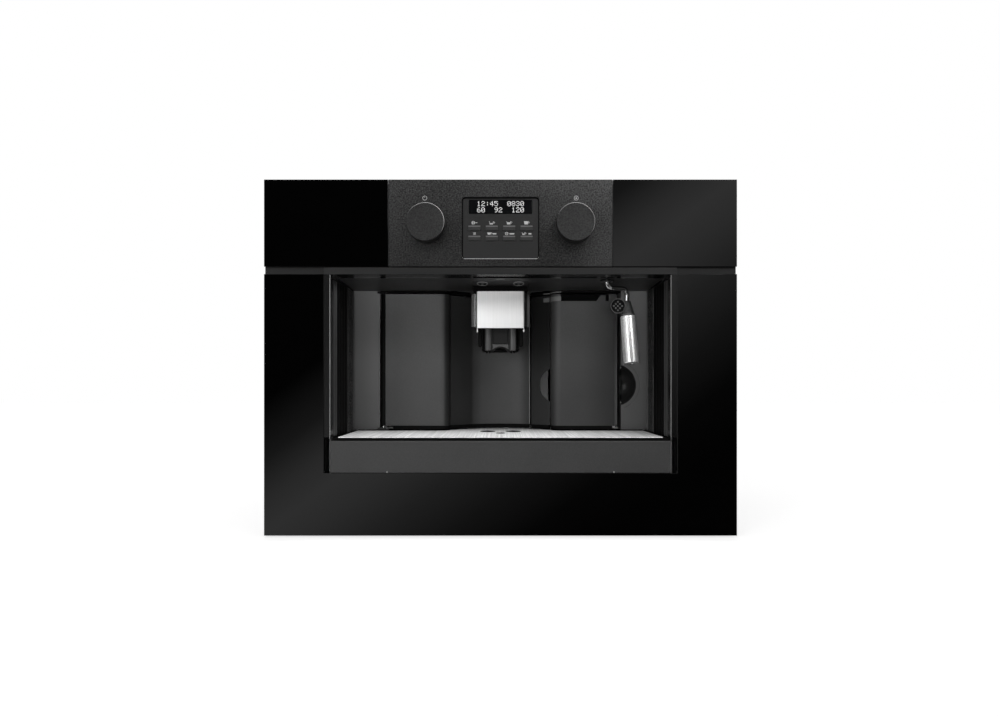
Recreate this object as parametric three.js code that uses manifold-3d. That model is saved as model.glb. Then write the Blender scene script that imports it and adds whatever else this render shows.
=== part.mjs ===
// Built-in coffee machine for a 60 cm wide niche: black glass front, satin metal control
// fascia, lit alcove with a service door, a water tank, a height-adjustable spout, a steam
// wand and a drip tray. The machine pulls out of its niche on two telescopic rails.
// Millimetres. X runs right, Y runs into the machine, Z runs up; y = 0 is the glass face.
import * as THREE from 'three';
import { mergeVertices } from 'three/addons/utils/BufferGeometryUtils.js';
import Module from 'manifold-3d';

const wasm = await Module();
wasm.setup();

// ------------------------------------------------------------------ driving dimensions

// clearances
const gap = 0.3; // between two pieces that touch
const panelJoint = 0.5; // visible joint between neighbouring front panels
const runningGap = 0.4; // between a moving piece and its guide

// front
const frontWidth = 595;
const frontTop = 449;
const frontLift = 1; // lower edge of the front above the floor of the niche
const glassThick = 5;
const frameThick = 14;
const frameInset = 4; // how far the frame hides behind the glass edge
const frameBorder = 5; // bar of the frame between alcove and controls
const frameSideBar = 10;
const fasciaWidth = 282;
const grooveHeight = 9.5; // recessed band between the lower and the upper panels

// alcove
const alcoveWidth = 430;
const alcoveCeiling = 329.5;
const alcoveSill = 79.5; // lower edge of the cut-out in the glass
const trimLeg = 7;
const trimLip = 8.8;
const trimDepth = 16;
const trimFoot = 124.5;
const linerWall = 2.5;
const linerDraft = 3; // the side walls close in by this much toward the back
const ceilingDepth = 182;
const columnInner = 174.3; // inner edge of the two fixed columns beside door and tank
const columnReturn = 30;
const columnFoot = 126;
const columnSheet = 3;

// back of the alcove in plan: flat wings, a round corner, a flank and a concave centre
const wingDepth = 120;
const cornerRound = 15;
const seamX = 73;
const dishHalf = 44;
const dishDepth = 171;
const dishRadius = 81;

// service door
const doorLeft = 166.5;
const doorFoot = 131.4;
const doorHead = 322.3;
const doorThick = 6;
const doorEdgeBevel = 4;
const hingeX = -169.5;
const hingeY = 121.5;
const hingeBarrel = 3.4;
const hingePinRadius = 1.8;
const hingeBracket = 3;

// spout
const spoutHeadHalf = 37;
const spoutHeadTop = 325;
const spoutHeadThick = 6.5;
const spoutFront = 65;
const coverHalf = 32.5;
const coverFlare = 8;
const coverReach = 31;
const coverSheet = 1.5;
const coverTop = 318;
const coverFoot = 268;
const spoutColumnHalf = 26;
const spoutColumnFront = 100;
const spoutColumnFoot = 240;
const spoutBlockFoot = 246;
const spoutShoulder = 4; // centre of the arch below the foot of the block
const noseSetback = 9; // from the cover to the block below it
const blockWrap = 18; // how far the block reaches back along the column
const nozzleX = 16;
const nozzleRadius = 3.5;
const nozzleTip = 234;
const sideTubeX = 27.4;
const sideTubeRadius = 3;
const sideTubeTip = 242;
const spoutArch = 11.4;

// drip tray
const trayWidth = 426;
const trayRim = 123.4;
const trayDepth = 178;
const trayWall = 2.5;
const trayRimWidth = 10;
const trayPanelHeight = 40;
const trayPanelThick = 5;
const trayRibX = 60;
const plateHalf = 205;
const plateThick = 1.3;
const plateFront = 3;
const plateSetback = 7; // from the door to the rear edge of the cup plate
const drainX = 18;
const drainY = 104;
const drainRadius = 10.2;
const smallDrainY = 69;
const smallDrainRadius = 5.5;

// water tank
const tankRight = 165;
const tankPanelThick = 4;
const tankWall = 2.5;
const tankInset = 3.5; // from the edges of the panel to the sides of the tank
const tankRear = 332;
const tankTop = 316;
const tankLidThick = 2.5;
const fillInset = 20; // from the sides of the tank to its filling hole
const fillLength = 50;
const notchLeft = 87;
const notchRight = 157;
const notchHeight = 10.3;
const gripZ = 190.4; // height of the two finger recesses beside the tank
const gripLeftX = 93.5;
const gripLeftRadius = 35;
const gripRightX = 166;
const gripRightRadius = 33;
const gripRightLift = 15; // centre of the right recess in front of the column face

// steam wand
const wandX = 141;
const wandY = 42;
const tubeRadius = 3;
const socketRadius = 9;
const socketFoot = 326.5;
const wandTop = 345;
const tubeFoot = 326; // end of the straight stretch under the socket
const tubeStraight = 8;
const elbowX = 5; // the bend's three points, from the end of the straight stretch
const elbowY = 1;
const elbowDrop = 6;
const armX = 15;
const armY = 4;
const armDrop = 8;
const wristX = 25;
const wristY = 9;
const wristDrop = 11.5;
const tubeEndX = 1.4; // the tube's end, from the wand's joint
const tubeEndY = 2.4;
const tubeEndRise = 23.5;
const wandJointX = 171.3;
const wandJointY = 55.5;
const wandJointZ = 284.5;
const wandLeanX = 3;
const wandLeanY = -10;
const wandLeanZ = -64;
const gripHeight = 21;
const gripTopRadius = 5.7;
const gripFootRadius = 9;
const paddleRadius = 10.2;
const paddleThick = 5;
const paddleReach = 15.5;
const paddleRise = 10.5;
const paddleArm = 8;
const gripFoot = 2.5; // straight part at the foot of the grip
const sleeveLength = 64;
const sleeveTopRadius = 10.3;
const sleeveFootRadius = 10.8;
const sleeveBore = 5;
const wandNozzleRadius = 4;
const wandNozzleLength = 60;
const nozzleChamfer = 1.5;
const sleeveCollar = 6; // length of the sleeve that is guided by the nozzle

// ceiling lamps
const lampX = 24.4;
const lampY = 60;
const lampRadius = 7;
const lampProud = 0.5;
const lampHeight = 7;

// controls
const knobX = 92.6;
const knobZ = 391.1;
const knobRadius = 23.5;
const knobProud = 20;
const knobLift = 2.8; // from the fascia to the back of the knob
const knobCrown = 1.5;
const knobSkirt = 2;
const knobHub = 4;
const knobHollow = 4; // depth of the hollow in its back
const shaftShort = 6; // from the knob's face to the end of its shaft
const shaftRadius = 3;
const shaftCollar = 7;
const collarThick = 4;
const pushTravel = 2;
const windowHalf = 48.7;
const windowFoot = 349;
const windowHead = 427;
const windowRound = 4;
const keypadRecess = 2.5;
const keypadThick = 2;
const displayHalf = 40.1;
const displayFoot = 406.3;
const displayHead = 424.2;
const displayThick = 8;
const buttonWidth = 14.3;
const buttonHeight = 4.5;
const buttonPitchX = 21.95;
const buttonColumns = 4;
const buttonRowCount = 2;
const buttonRowTop = 388.5;
const buttonPitchZ = 12.8;
const buttonRecess = 1.2;
const buttonFlange = 1; // thickness of the rim that holds a button in its hole
const buttonRim = 1; // width of that rim
const buttonRound = 1;
const buttonTravel = 1;
const stemWidth = 3;
const boardThick = 1.6;
const boardMargin = 5;

// housing
const housingHalf = 261.4;
const housingTop = 436;
const housingFoot = 6;
const housingRear = 374;
const sheet = 1.5;
const deckSheet = 2;
const webX = 219;
const deckZ = 127;
const riserY = 184;
const rearWallY = 345;
const rearWallHalf = 150;
const upperShelfZ = 326;
const upperShelfHalf = 90;
const upperShelfFront = 195;
const deckHalf = 172;
const deckSetback = 9;

// rails and base
const railSpace = 18.6; // from the housing to the side of the niche
const nicheClear = 1;
const baseSheet = 2;
const baseFront = 30;
const baseRear = 372;
const flangeTop = 80;
const railFront = 40;
const railLength = 320;
const railZ = 50;
const railHalfHeight = 22.5;
const railSheet = 1.5;
const railNest = 0.6; // play between one rail member and the next
const railLips = 9.5;

// inner works
const hopperLeft = -150;
const hopperRight = 20;
const hopperFront = 60;
const hopperLift = 24; // above the shelf of the grinder
const hopperSlopeDrop = 36; // from the housing's top to the start of the slope
const hopperThroat = 200;
const hopperWall = 2.5;
const slopedWall = 1.2; // a sloping wall measures this much more straight up
const hopperRimThick = 1.7;
const hopperFlange = 4;
const lidThick = 2.7;
const grinderX = -20;
const grinderY = 262;
const grinderRadius = 38;
const grinderDrop = 16; // from the housing's top to the grinder
const grinderNeck = 10;
const chuteRadius = 10;
const chuteDrop = 20; // from the shelf to the foot of the chute
const adjusterRadius = 16;
const adjusterHeight = 8;
const outletWidth = 24; // opening from the hopper to the grinder
const outletHeight = 22;
const outletLift = 6;
const brewX = -24;
const brewWidth = 110;
const brewFront = 192;
const brewRear = 335;
const brewSill = 165; // top of the brew unit's foot
const chuteClear = 6; // from the chute to the brew unit
const brewBack = 30;
const brewAxisY = 250;
const brewRadius = 26;
const brewChamber = 77;
const pistonRadius = 20;
const pistonStroke = 8;
const pistonLength = 12;
const pistonHead = 48;
const binLeft = -160;
const binWidth = 68;
const binClear = 2; // from the front edge of the deck
const binRear = 330;
const binTop = 235;
const binWall = 2;
const pumpX = -110;
const pumpFront = 210;
const pumpLength = 120;
const pumpRadius = 22;
const pumpTail = 15; // radius of the slimmer rear half
const pumpFootWidth = 40;
const pumpFootHeight = 8;
const boilerX = 60;
const boilerSide = 100;
const boilerDepth = 110;
const boilerFront = 215;
const boilerTop = 60;
const boilerDome = 38;
const boilerDomeRise = 12;
const boilerPortRadius = 4;
const boilerPortSpread = 30;
const boilerPortRise = 20;

// rear connections
const inletInset = 71.4; // from the side of the housing
const inletZ = 60;
const inletWidth = 27;
const inletHeight = 20;
const inletFlange = 3;
const inletFlangeThick = 2;
const inletDepth = 22;
const inletWall = 2;
const pinPitch = 7;
const pinRise = 2.5;
const pinWidth = 2;
const pinHeight = 5;
const pinShort = 4; // from the mouth of the inlet to the tip of a pin
const switchPitch = 60; // from the inlet to the switch
const switchWidth = 18;
const switchHeight = 24;
const switchDepth = 8;
const switchProud = 2.2;
const switchWaist = 0.8;
const switchTaper = 3;
const switchClear = 1;
const ventLeft = -120;
const ventRight = 40;
const ventDrop = 106; // from the housing's top to the lowest slot
const ventRows = 7;
const ventPitch = 14;
const ventHeight = 5;

const half = frontWidth / 2;
const deg = Math.PI / 180;

// ----------------------------------------------------------------------------- helpers

/** Points of an arc from one angle to another, in degrees, both ends included. */
function arc(cx, cy, radius, from, to, steps) {
  const points = [];
  for (let i = 0; i <= steps; i += 1) {
    const a = (from + ((to - from) * i) / steps) * deg;
    points.push([cx + radius * Math.cos(a), cy + radius * Math.sin(a)]);
  }
  return points;
}

/** Points of a whole circle. */
function circle(cx, cy, radius, steps = 20) {
  return arc(cx, cy, radius, 0, 360 - 360 / steps, steps - 1);
}

/** Points of a rectangle, counter-clockwise. */
function rect(u0, u1, v0, v1) {
  return [[u0, v0], [u1, v0], [u1, v1], [u0, v1]];
}

/** Points of a rectangle with round corners. */
function roundRect(u0, u1, v0, v1, r, steps = 4) {
  return [
    ...arc(u1 - r, v0 + r, r, -90, 0, steps),
    ...arc(u1 - r, v1 - r, r, 0, 90, steps),
    ...arc(u0 + r, v1 - r, r, 90, 180, steps),
    ...arc(u0 + r, v0 + r, r, 180, 270, steps),
  ];
}

/** The same outline on the other side of the machine. */
function mirrored(points) {
  return points.map(([u, v]) => [-u, v]).reverse();
}

function vectors(points) {
  return points.map(([u, v]) => new THREE.Vector2(u, v));
}

function extrude(points, depth, holes) {
  const shape = new THREE.Shape(vectors(points));
  shape.holes = holes.map((hole) => new THREE.Path(vectors(hole)));
  return new THREE.ExtrudeGeometry(shape, { depth, bevelEnabled: false });
}

/** An outline drawn from the front, in x and z, made solid from y0 to y1. */
function upright(points, y0, y1, holes = []) {
  const turn = new THREE.Matrix4().makeBasis(
    new THREE.Vector3(1, 0, 0),
    new THREE.Vector3(0, 0, 1),
    new THREE.Vector3(0, -1, 0),
  );
  return extrude(points, y1 - y0, holes).applyMatrix4(turn).translate(0, y1, 0);
}

/** An outline drawn from above, in x and y, made solid from z0 to z1. */
function plan(points, z0, z1, holes = []) {
  return extrude(points, z1 - z0, holes).translate(0, 0, z0);
}

/** An outline drawn from the side, in y and z, made solid from x0 to x1. */
function side(points, x0, x1, holes = []) {
  const turn = new THREE.Matrix4().makeBasis(
    new THREE.Vector3(0, 1, 0),
    new THREE.Vector3(0, 0, 1),
    new THREE.Vector3(1, 0, 0),
  );
  return extrude(points, x1 - x0, holes).applyMatrix4(turn).translate(x0, 0, 0);
}

function box(x0, x1, y0, y1, z0, z1) {
  const geometry = new THREE.BoxGeometry(x1 - x0, y1 - y0, z1 - z0);
  return geometry.translate((x0 + x1) / 2, (y0 + y1) / 2, (z0 + z1) / 2);
}

function cylinderZ(cx, cy, radius, z0, z1, steps = 20) {
  return plan(circle(cx, cy, radius, steps), z0, z1);
}

function cylinderY(cx, cz, radius, y0, y1, steps = 20) {
  return upright(circle(cx, cz, radius, steps), y0, y1);
}

function ball(x, y, z, radius) {
  return new THREE.SphereGeometry(radius, 28, 18).translate(x, y, z);
}

/** A profile of [radius, height] pairs turned about the Z axis, drawn from the foot up. */
function turned(profile, steps = 28) {
  return new THREE.LatheGeometry(vectors(profile), steps).rotateX(Math.PI / 2);
}

/** Joins equal corners and drops triangles that have lost a side. */
function welded(geometry) {
  const bare = geometry.clone();
  bare.deleteAttribute('normal');
  bare.deleteAttribute('uv');
  const merged = mergeVertices(bare, 1e-4);
  const old = merged.index.array;
  const kept = [];
  for (let i = 0; i < old.length; i += 3) {
    const [a, b, c] = [old[i], old[i + 1], old[i + 2]];
    if (a !== b && b !== c && a !== c) kept.push(a, b, c);
  }
  merged.setIndex(kept);
  return merged;
}

function toSolid(geometry) {
  const { index, attributes } = welded(geometry);
  return new wasm.Manifold(new wasm.Mesh({
    numProp: 3,
    vertProperties: new Float32Array(attributes.position.array),
    triVerts: new Uint32Array(index.array),
  }));
}

function toGeometry(solid) {
  const { vertProperties, triVerts } = solid.getMesh();
  const geometry = new THREE.BufferGeometry();
  geometry.setAttribute('position', new THREE.BufferAttribute(vertProperties, 3));
  geometry.setIndex(new THREE.BufferAttribute(triVerts, 1));
  geometry.computeVertexNormals();
  return geometry;
}

function join(first, ...others) {
  return toGeometry(others.reduce((sum, g) => sum.add(toSolid(g)), toSolid(first)));
}

function cut(first, ...tools) {
  return toGeometry(tools.reduce((rest, g) => rest.subtract(toSolid(g)), toSolid(first)));
}

function common(first, second) {
  return toGeometry(toSolid(first).intersect(toSolid(second)));
}

// finishes: colour, roughness, metalness
const finishes = {
  blackGlass: [0x07070a, 0.06, 0.1],
  satinMetal: [0x4a4a4d, 0.42, 0.85],
  darkGrey: [0x4c4c4e, 0.35, 0.1],
  blackGloss: [0x0b0b0c, 0.15, 0],
  blackMatte: [0x161617, 0.6, 0],
  steel: [0xc9cacb, 0.28, 1],
  polished: [0xd8d9da, 0.1, 1],
  sheetMetal: [0x9a9c9e, 0.5, 0.9],
  clear: [0xb9c6cc, 0.1, 0],
  board: [0x1f5a33, 0.6, 0],
  brass: [0xb08d4a, 0.35, 1],
  display: [0x050708, 0.1, 0],
  lamp: [0xf2f0e6, 0.3, 0],
};

function finish(name) {
  const [color, roughness, metalness] = finishes[name];
  return new THREE.MeshStandardMaterial({ name, color, roughness, metalness });
}

const machine = new THREE.Group();

function piece(name, geometry, finishName, parent = machine) {
  const mesh = new THREE.Mesh(geometry, finish(finishName));
  mesh.name = name;
  parent.add(mesh);
  return mesh;
}

// --------------------------------------------------------------- shared working values

const cutHalf = alcoveWidth / 2 + trimLeg + panelJoint; // half the cut-out in the glass
const grooveFoot = alcoveCeiling + panelJoint;
const upperFoot = grooveFoot + grooveHeight; // lower edge of the three upper panels
const frameFront = glassThick + gap;
const frameBack = frameFront + frameThick;
const boardFront = frameBack + gap;
const linerFront = trimDepth + gap;
const linerOuter = alcoveWidth / 2 + linerWall;
const ceilingTop = alcoveCeiling + linerWall;
const seamDepth = wingDepth + cornerRound;
const dishCentre = dishDepth - dishRadius;
const dishEdgeDepth = dishCentre + Math.sqrt(dishRadius ** 2 - dishHalf ** 2);
const dishEdgeAngle = Math.asin(dishHalf / dishRadius) / deg;
const flankLength = Math.hypot(seamX - dishHalf, dishEdgeDepth - seamDepth);
const flankDirection = [(seamX - dishHalf) / flankLength, (seamDepth - dishEdgeDepth) / flankLength];
const cornerX = seamX + cornerRound;
const trayFoot = alcoveSill + panelJoint; // the tray slides out over the sill
const shelfZ = trayFoot - runningGap - deckSheet;
const wrapInner = housingHalf - sheet;
const deckTop = deckZ + deckSheet;
const standZ = deckTop + gap; // what stands on the deck starts here
const floorZ = housingFoot + deckSheet + gap; // what stands on the chassis floor starts here
const hopperFoot = upperShelfZ + deckSheet + hopperLift;
const hopperSlope = housingTop - hopperSlopeDrop;
const grinderTop = housingTop - grinderDrop;
const chuteFoot = upperShelfZ - chuteDrop;
const brewTop = chuteFoot - chuteClear;
const ventFoot = housingTop - ventDrop;
const inletX = housingHalf - inletInset;
const switchX = inletX - switchPitch;

/**
 * The right half of the alcove's back in plan, moved toward the viewer by the offset, from
 * the centre line to the foot of the round corner.
 */
function backOutline(offset, arcSteps = 6, cornerSteps = 5) {
  const points = arc(0, dishCentre, dishRadius - offset, 90, 90 - dishEdgeAngle, arcSteps);
  // the flank, moved sideways, meets the corner's circle
  const [dx, dy] = flankDirection;
  const startX = seamX + dy * offset - cornerX;
  const startY = -dx * offset;
  const radius = cornerRound + offset;
  const along = startX * dx + startY * dy;
  const reach = Math.sqrt(along ** 2 - (startX ** 2 + startY ** 2 - radius ** 2));
  const meetX = startX + dx * (-along - reach);
  const meetY = startY + dy * (-along - reach);
  const from = Math.atan2(meetY, meetX) / deg;
  const turn = from < 0 ? from + 360 : from;
  return [...points, ...arc(cornerX, seamDepth, radius, turn, 270, cornerSteps)];
}

/** Depth of the flank's face at a distance from the centre line. */
function flankDepth(x) {
  return dishEdgeDepth + ((x - dishHalf) * flankDirection[1]) / flankDirection[0];
}

// ------------------------------------------------------------------- base and rails

const flangeOuter = housingHalf + railSpace - nicheClear;
const flangeInner = flangeOuter - baseSheet;
const railOuter = flangeInner - gap;
const railInnerFace = housingHalf + gap;

// the base lies on the niche's floor and carries the two rails between its upturned sides
piece('mounting_base', upright([
  [-flangeOuter, 0], [flangeOuter, 0], [flangeOuter, flangeTop], [flangeInner, flangeTop],
  [flangeInner, baseSheet], [-flangeInner, baseSheet], [-flangeInner, flangeTop],
  [-flangeOuter, flangeTop],
], baseFront, baseRear), 'sheetMetal');

/** A C-shaped rail member in x and z, with its web outside and its lips toward the machine. */
function channel(webX1, lipX0, halfHeight) {
  const top = railZ + halfHeight;
  const foot = railZ - halfHeight;
  return [
    [webX1, foot], [webX1, top], [lipX0, top], [lipX0, top - railSheet],
    [webX1 - railSheet, top - railSheet], [webX1 - railSheet, foot + railSheet],
    [lipX0, foot + railSheet], [lipX0, foot],
  ];
}

const railStep = railSheet + railNest;
const railMembers = [
  ['outer', channel(railOuter, railOuter - railLips, railHalfHeight)],
  ['middle', channel(railOuter - railStep, railOuter - railStep - railLips, railHalfHeight - railStep)],
  ['inner', rect(
    railInnerFace, railOuter - 2 * railStep,
    railZ - railHalfHeight + 2 * railStep, railZ + railHalfHeight - 2 * railStep,
  )],
];
for (const [member, outline] of railMembers) {
  const rear = railFront + railLength;
  piece(`${member}_rail_right`, upright(outline, railFront, rear), 'sheetMetal');
  piece(`${member}_rail_left`, upright(mirrored(outline), railFront, rear), 'sheetMetal');
}

// ------------------------------------------------------------------- front panels

const lowerGlass = [
  [-half, frontLift], [half, frontLift], [half, grooveFoot], [cutHalf, grooveFoot],
  [cutHalf, alcoveSill], [-cutHalf, alcoveSill], [-cutHalf, grooveFoot], [-half, grooveFoot],
];
piece('lower_glass', upright(lowerGlass, 0, glassThick), 'blackGlass');

const sideGlass = rect(fasciaWidth / 2 + panelJoint, half, upperFoot, frontTop);
piece('upper_glass_right', upright(sideGlass, 0, glassThick), 'blackGlass');
piece('upper_glass_left', upright(mirrored(sideGlass), 0, glassThick), 'blackGlass');

const windowHole = roundRect(-windowHalf, windowHalf, windowFoot, windowHead, windowRound);
const knobHoles = [-knobX, knobX].map((x) => circle(x, knobZ, shaftRadius + runningGap, 16));
piece('control_fascia', upright(
  rect(-fasciaWidth / 2, fasciaWidth / 2, upperFoot, frontTop), 0, glassThick,
  [windowHole, ...knobHoles],
), 'satinMetal');

// the frame behind the panels, with one opening for the alcove and one for the controls
const frameHalf = half - frameInset;
const controlHalf = fasciaWidth / 2 - frameSideBar;
const controlFoot = upperFoot + frameBorder;
const controlHead = frontTop - frameInset - frameBorder;
piece('front_frame', upright(
  rect(-frameHalf, frameHalf, frontLift + frameInset, frontTop - frameInset),
  frameFront, frameBack,
  [
    rect(-cutHalf, cutHalf, shelfZ, alcoveCeiling + trimLip + gap),
    rect(-controlHalf, controlHalf, controlFoot, controlHead),
  ],
), 'blackMatte');

const trimInner = alcoveWidth / 2;
const trimOuter = trimInner + trimLeg;
const trimTop = alcoveCeiling + trimLip;
piece('alcove_trim', upright([
  [trimInner, trimFoot], [trimOuter, trimFoot], [trimOuter, trimTop], [-trimOuter, trimTop],
  [-trimOuter, trimFoot], [-trimInner, trimFoot], [-trimInner, alcoveCeiling],
  [trimInner, alcoveCeiling],
], 0, trimDepth), 'satinMetal');

// ------------------------------------------------------------------- alcove liner

const backWall = alcoveWidth / 2 - linerDraft;
const columnBack = wingDepth + columnReturn;
const wingPlan = [
  [trimInner, linerFront], [linerOuter, linerFront], [linerOuter, columnBack],
  [linerOuter - columnSheet, columnBack], [linerOuter - columnSheet, wingDepth + columnSheet],
  [columnInner + columnSheet, wingDepth + columnSheet], [columnInner + columnSheet, columnBack],
  [columnInner, columnBack], [columnInner, wingDepth], [backWall, wingDepth],
];
const skirtPlan = rect(trimInner, linerOuter, linerFront, columnBack);
const hingePin = circle(hingeX, hingeY, hingePinRadius + gap, 16);
const bracketPlan = rect(
  -columnInner - columnSheet, hingeX + hingeBarrel + gap,
  hingeY - hingeBarrel - 1, wingDepth + 2 * columnSheet,
);
const bracketHead = doorHead + gap + hingeBracket;
const lamps = [-lampX, lampX].map((x) => circle(x, lampY, lampRadius + gap));
const wandHole = circle(wandX, wandY, tubeRadius + runningGap, 16);

let liner = join(
  plan(wingPlan, columnFoot, ceilingTop),
  plan(mirrored(wingPlan), columnFoot, ceilingTop),
  plan(skirtPlan, trayFoot, columnFoot + 1),
  plan(mirrored(skirtPlan), trayFoot, columnFoot + 1),
  plan(
    rect(-linerOuter, linerOuter, linerFront, ceilingDepth), alcoveCeiling, ceilingTop,
    [...lamps, wandHole],
  ),
  plan(circle(wandX, wandY, socketRadius), socketFoot, alcoveCeiling + 1, [wandHole]),
  plan(bracketPlan, columnFoot, columnFoot + hingeBracket, [hingePin]),
  plan(bracketPlan, bracketHead - hingeBracket, bracketHead, [hingePin]),
  // wall round the right finger recess
  common(
    ball(gripRightX, wingDepth - gripRightLift, gripZ, gripRightRadius + linerWall),
    box(columnInner, backWall, wingDepth, columnBack, columnFoot, alcoveCeiling),
  ),
);
liner = cut(liner, ball(gripRightX, wingDepth - gripRightLift, gripZ, gripRightRadius));
piece('alcove_liner', liner, 'blackGloss');

for (const [sideName, x] of [['left', -lampX], ['right', lampX]]) {
  const foot = alcoveCeiling - lampProud;
  piece(`lamp_${sideName}`, cylinderZ(x, lampY, lampRadius, foot, foot + lampHeight), 'lamp');
}

// fixed flank between door and tank, with the left finger recess and the wall behind it
const flankLeft = dishHalf + 2 + gap;
const flankRight = seamX - gap;
const flankBack = riserY;
const flankWall = 3;
const flankFace = plan([
  [flankLeft, flankDepth(flankLeft)], [flankRight, flankDepth(flankRight)],
  [flankRight, flankBack], [flankLeft, flankBack],
], doorFoot, doorHead);
const flankPartition = box(
  flankRight - flankWall, flankRight, flankBack - 1, rearWallY - gap, standZ, doorHead,
);
piece('flank_panel', cut(
  join(flankFace, flankPartition),
  ball(gripLeftX, seamDepth + cornerRound, gripZ, gripLeftRadius),
), 'darkGrey');

// ------------------------------------------------------------------- service door

const doorFrontLine = backOutline(0);
const doorBackLine = backOutline(-doorThick);
const centreSteps = 7; // points of the concave centre that the door uses on its right half
const rightFront = doorFrontLine.slice(0, centreSteps);
const bevelX = dishHalf - doorEdgeBevel;
const rightBack = doorBackLine.slice(0, centreSteps).filter(([x]) => x < bevelX);
const backRadius = dishRadius + doorThick;
const doorPlan = [
  ...mirrored(doorFrontLine),
  ...rightFront.slice(1),
  [bevelX, dishCentre + Math.sqrt(backRadius ** 2 - bevelX ** 2)],
  ...rightBack.slice().reverse(),
  ...doorBackLine.slice(1).map(([x, y]) => [-x, y]),
  [-doorLeft, wingDepth + doorThick],
  [-doorLeft, wingDepth],
];
piece('service_door', cut(
  join(plan(doorPlan, doorFoot, doorHead), cylinderZ(hingeX, hingeY, hingeBarrel, doorFoot, doorHead)),
  cylinderZ(hingeX, hingeY, hingePinRadius + runningGap, doorFoot - 1, doorHead + 1, 16),
), 'darkGrey');

piece('hinge_pin', cylinderZ(
  hingeX, hingeY, hingePinRadius, columnFoot, bracketHead, 16,
), 'steel');

// ------------------------------------------------------------------- spout

/** Plan of a block in front of the concave door centre, with its back fitted to it. */
function dishBlock(halfWidth, front) {
  const radius = dishRadius - gap;
  const spread = Math.asin(halfWidth / radius) / deg;
  return [
    [-halfWidth, front], [halfWidth, front],
    ...arc(0, dishCentre, radius, 90 - spread, 90 + spread, 6),
  ];
}

const spoutHeadFoot = spoutHeadTop - spoutHeadThick;
piece('spout_guide', join(
  plan(dishBlock(spoutHeadHalf, spoutFront + 1), spoutHeadFoot, spoutHeadTop),
  plan(dishBlock(spoutColumnHalf, spoutColumnFront), spoutColumnFoot, spoutHeadFoot + 1),
), 'blackMatte');

const blockHalf = coverHalf - coverSheet - gap;
const blockFront = spoutFront + coverSheet + gap;
const blockRear = spoutColumnFront + blockWrap;
const blockHead = coverTop - gap;
const noseFront = spoutFront + noseSetback;
const tubeY = noseFront + 1;
const spoutBody = join(
  box(-blockHalf, blockHalf, blockFront, blockRear, coverFoot, blockHead),
  box(-blockHalf, blockHalf, noseFront, blockRear, spoutBlockFoot, coverFoot + 1),
  ...[-nozzleX, nozzleX].map((x) => cylinderZ(x, tubeY, nozzleRadius, nozzleTip, coverFoot + 1, 16)),
  ...[-sideTubeX, sideTubeX].map((x) => (
    cylinderZ(x, tubeY + 1, sideTubeRadius, sideTubeTip, coverFoot + 1, 16)
  )),
);
piece('spout_block', cut(
  spoutBody,
  box(
    -spoutColumnHalf - runningGap, spoutColumnHalf + runningGap,
    spoutColumnFront - runningGap, blockRear + 1, spoutBlockFoot - 1, blockHead + 1,
  ),
  cylinderY(0, spoutBlockFoot - spoutShoulder, spoutArch, noseFront - 1, blockRear, 28),
), 'blackMatte');

const coverBack = spoutFront + coverReach;
const coverOuter = [
  [-coverHalf - coverFlare, coverBack], [-coverHalf, spoutFront],
  [coverHalf, spoutFront], [coverHalf + coverFlare, coverBack],
];
const coverInner = [
  [coverHalf + coverFlare - coverSheet, coverBack], [coverHalf - coverSheet, spoutFront + coverSheet],
  [-coverHalf + coverSheet, spoutFront + coverSheet], [-coverHalf - coverFlare + coverSheet, coverBack],
];
piece('spout_cover', plan([...coverOuter, ...coverInner], coverFoot, coverTop), 'steel');

// ------------------------------------------------------------------- drip tray

const trayHalf = trayWidth / 2;
const trayFront = trayPanelThick + gap;
const trayInnerHalf = trayHalf - trayRimWidth;
const trayInnerFront = trayFront + trayWall;
const trayInnerBack = trayDepth - trayWall;
const trayFloor = trayFoot + trayWall;
piece('drip_tray', join(
  cut(
    box(-trayHalf, trayHalf, trayFront, trayDepth, trayFoot, trayRim),
    box(-trayInnerHalf, trayInnerHalf, trayInnerFront, trayInnerBack, trayFloor, trayRim + 1),
  ),
  ...[-trayRibX, trayRibX].map((x) => box(
    x - trayWall / 2, x + trayWall / 2, trayInnerFront - 1, trayInnerBack + 1,
    trayFloor - 1, trayRim,
  )),
), 'blackMatte');

piece('tray_front', box(
  -trayHalf - 1, trayHalf + 1, 0, trayPanelThick, trayFoot, trayFoot + trayPanelHeight,
), 'darkGrey');

const plateBack = backOutline(plateSetback);
piece('cup_plate', plan([
  [plateHalf, plateFront], [plateHalf, wingDepth - plateSetback],
  ...plateBack.slice().reverse(), ...plateBack.slice(1).map(([x, y]) => [-x, y]),
  [-plateHalf, wingDepth - plateSetback], [-plateHalf, plateFront],
], trayRim + gap, trayRim + gap + plateThick, [
  circle(-drainX, drainY, drainRadius),
  circle(drainX, drainY, drainRadius),
  circle(0, smallDrainY, smallDrainRadius, 16),
]), 'steel');

// ------------------------------------------------------------------- water tank

const tankLeft = seamX + gap;
const tankPanelBack = wingDepth + tankPanelThick;
const panelCorner = arc(cornerX, seamDepth, cornerRound - gap, 180, 270, 5);
const panelCornerInner = arc(cornerX, seamDepth, cornerRound - tankPanelThick, 270, 180, 5);
piece('tank_front', cut(
  plan([
    ...panelCorner, [tankRight, wingDepth + gap],
    [tankRight, tankPanelBack], ...panelCornerInner,
  ], doorFoot, doorHead),
  box(notchLeft, notchRight, wingDepth - 1, tankPanelBack + 1, doorHead - notchHeight, doorHead + 1),
), 'darkGrey');

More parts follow.
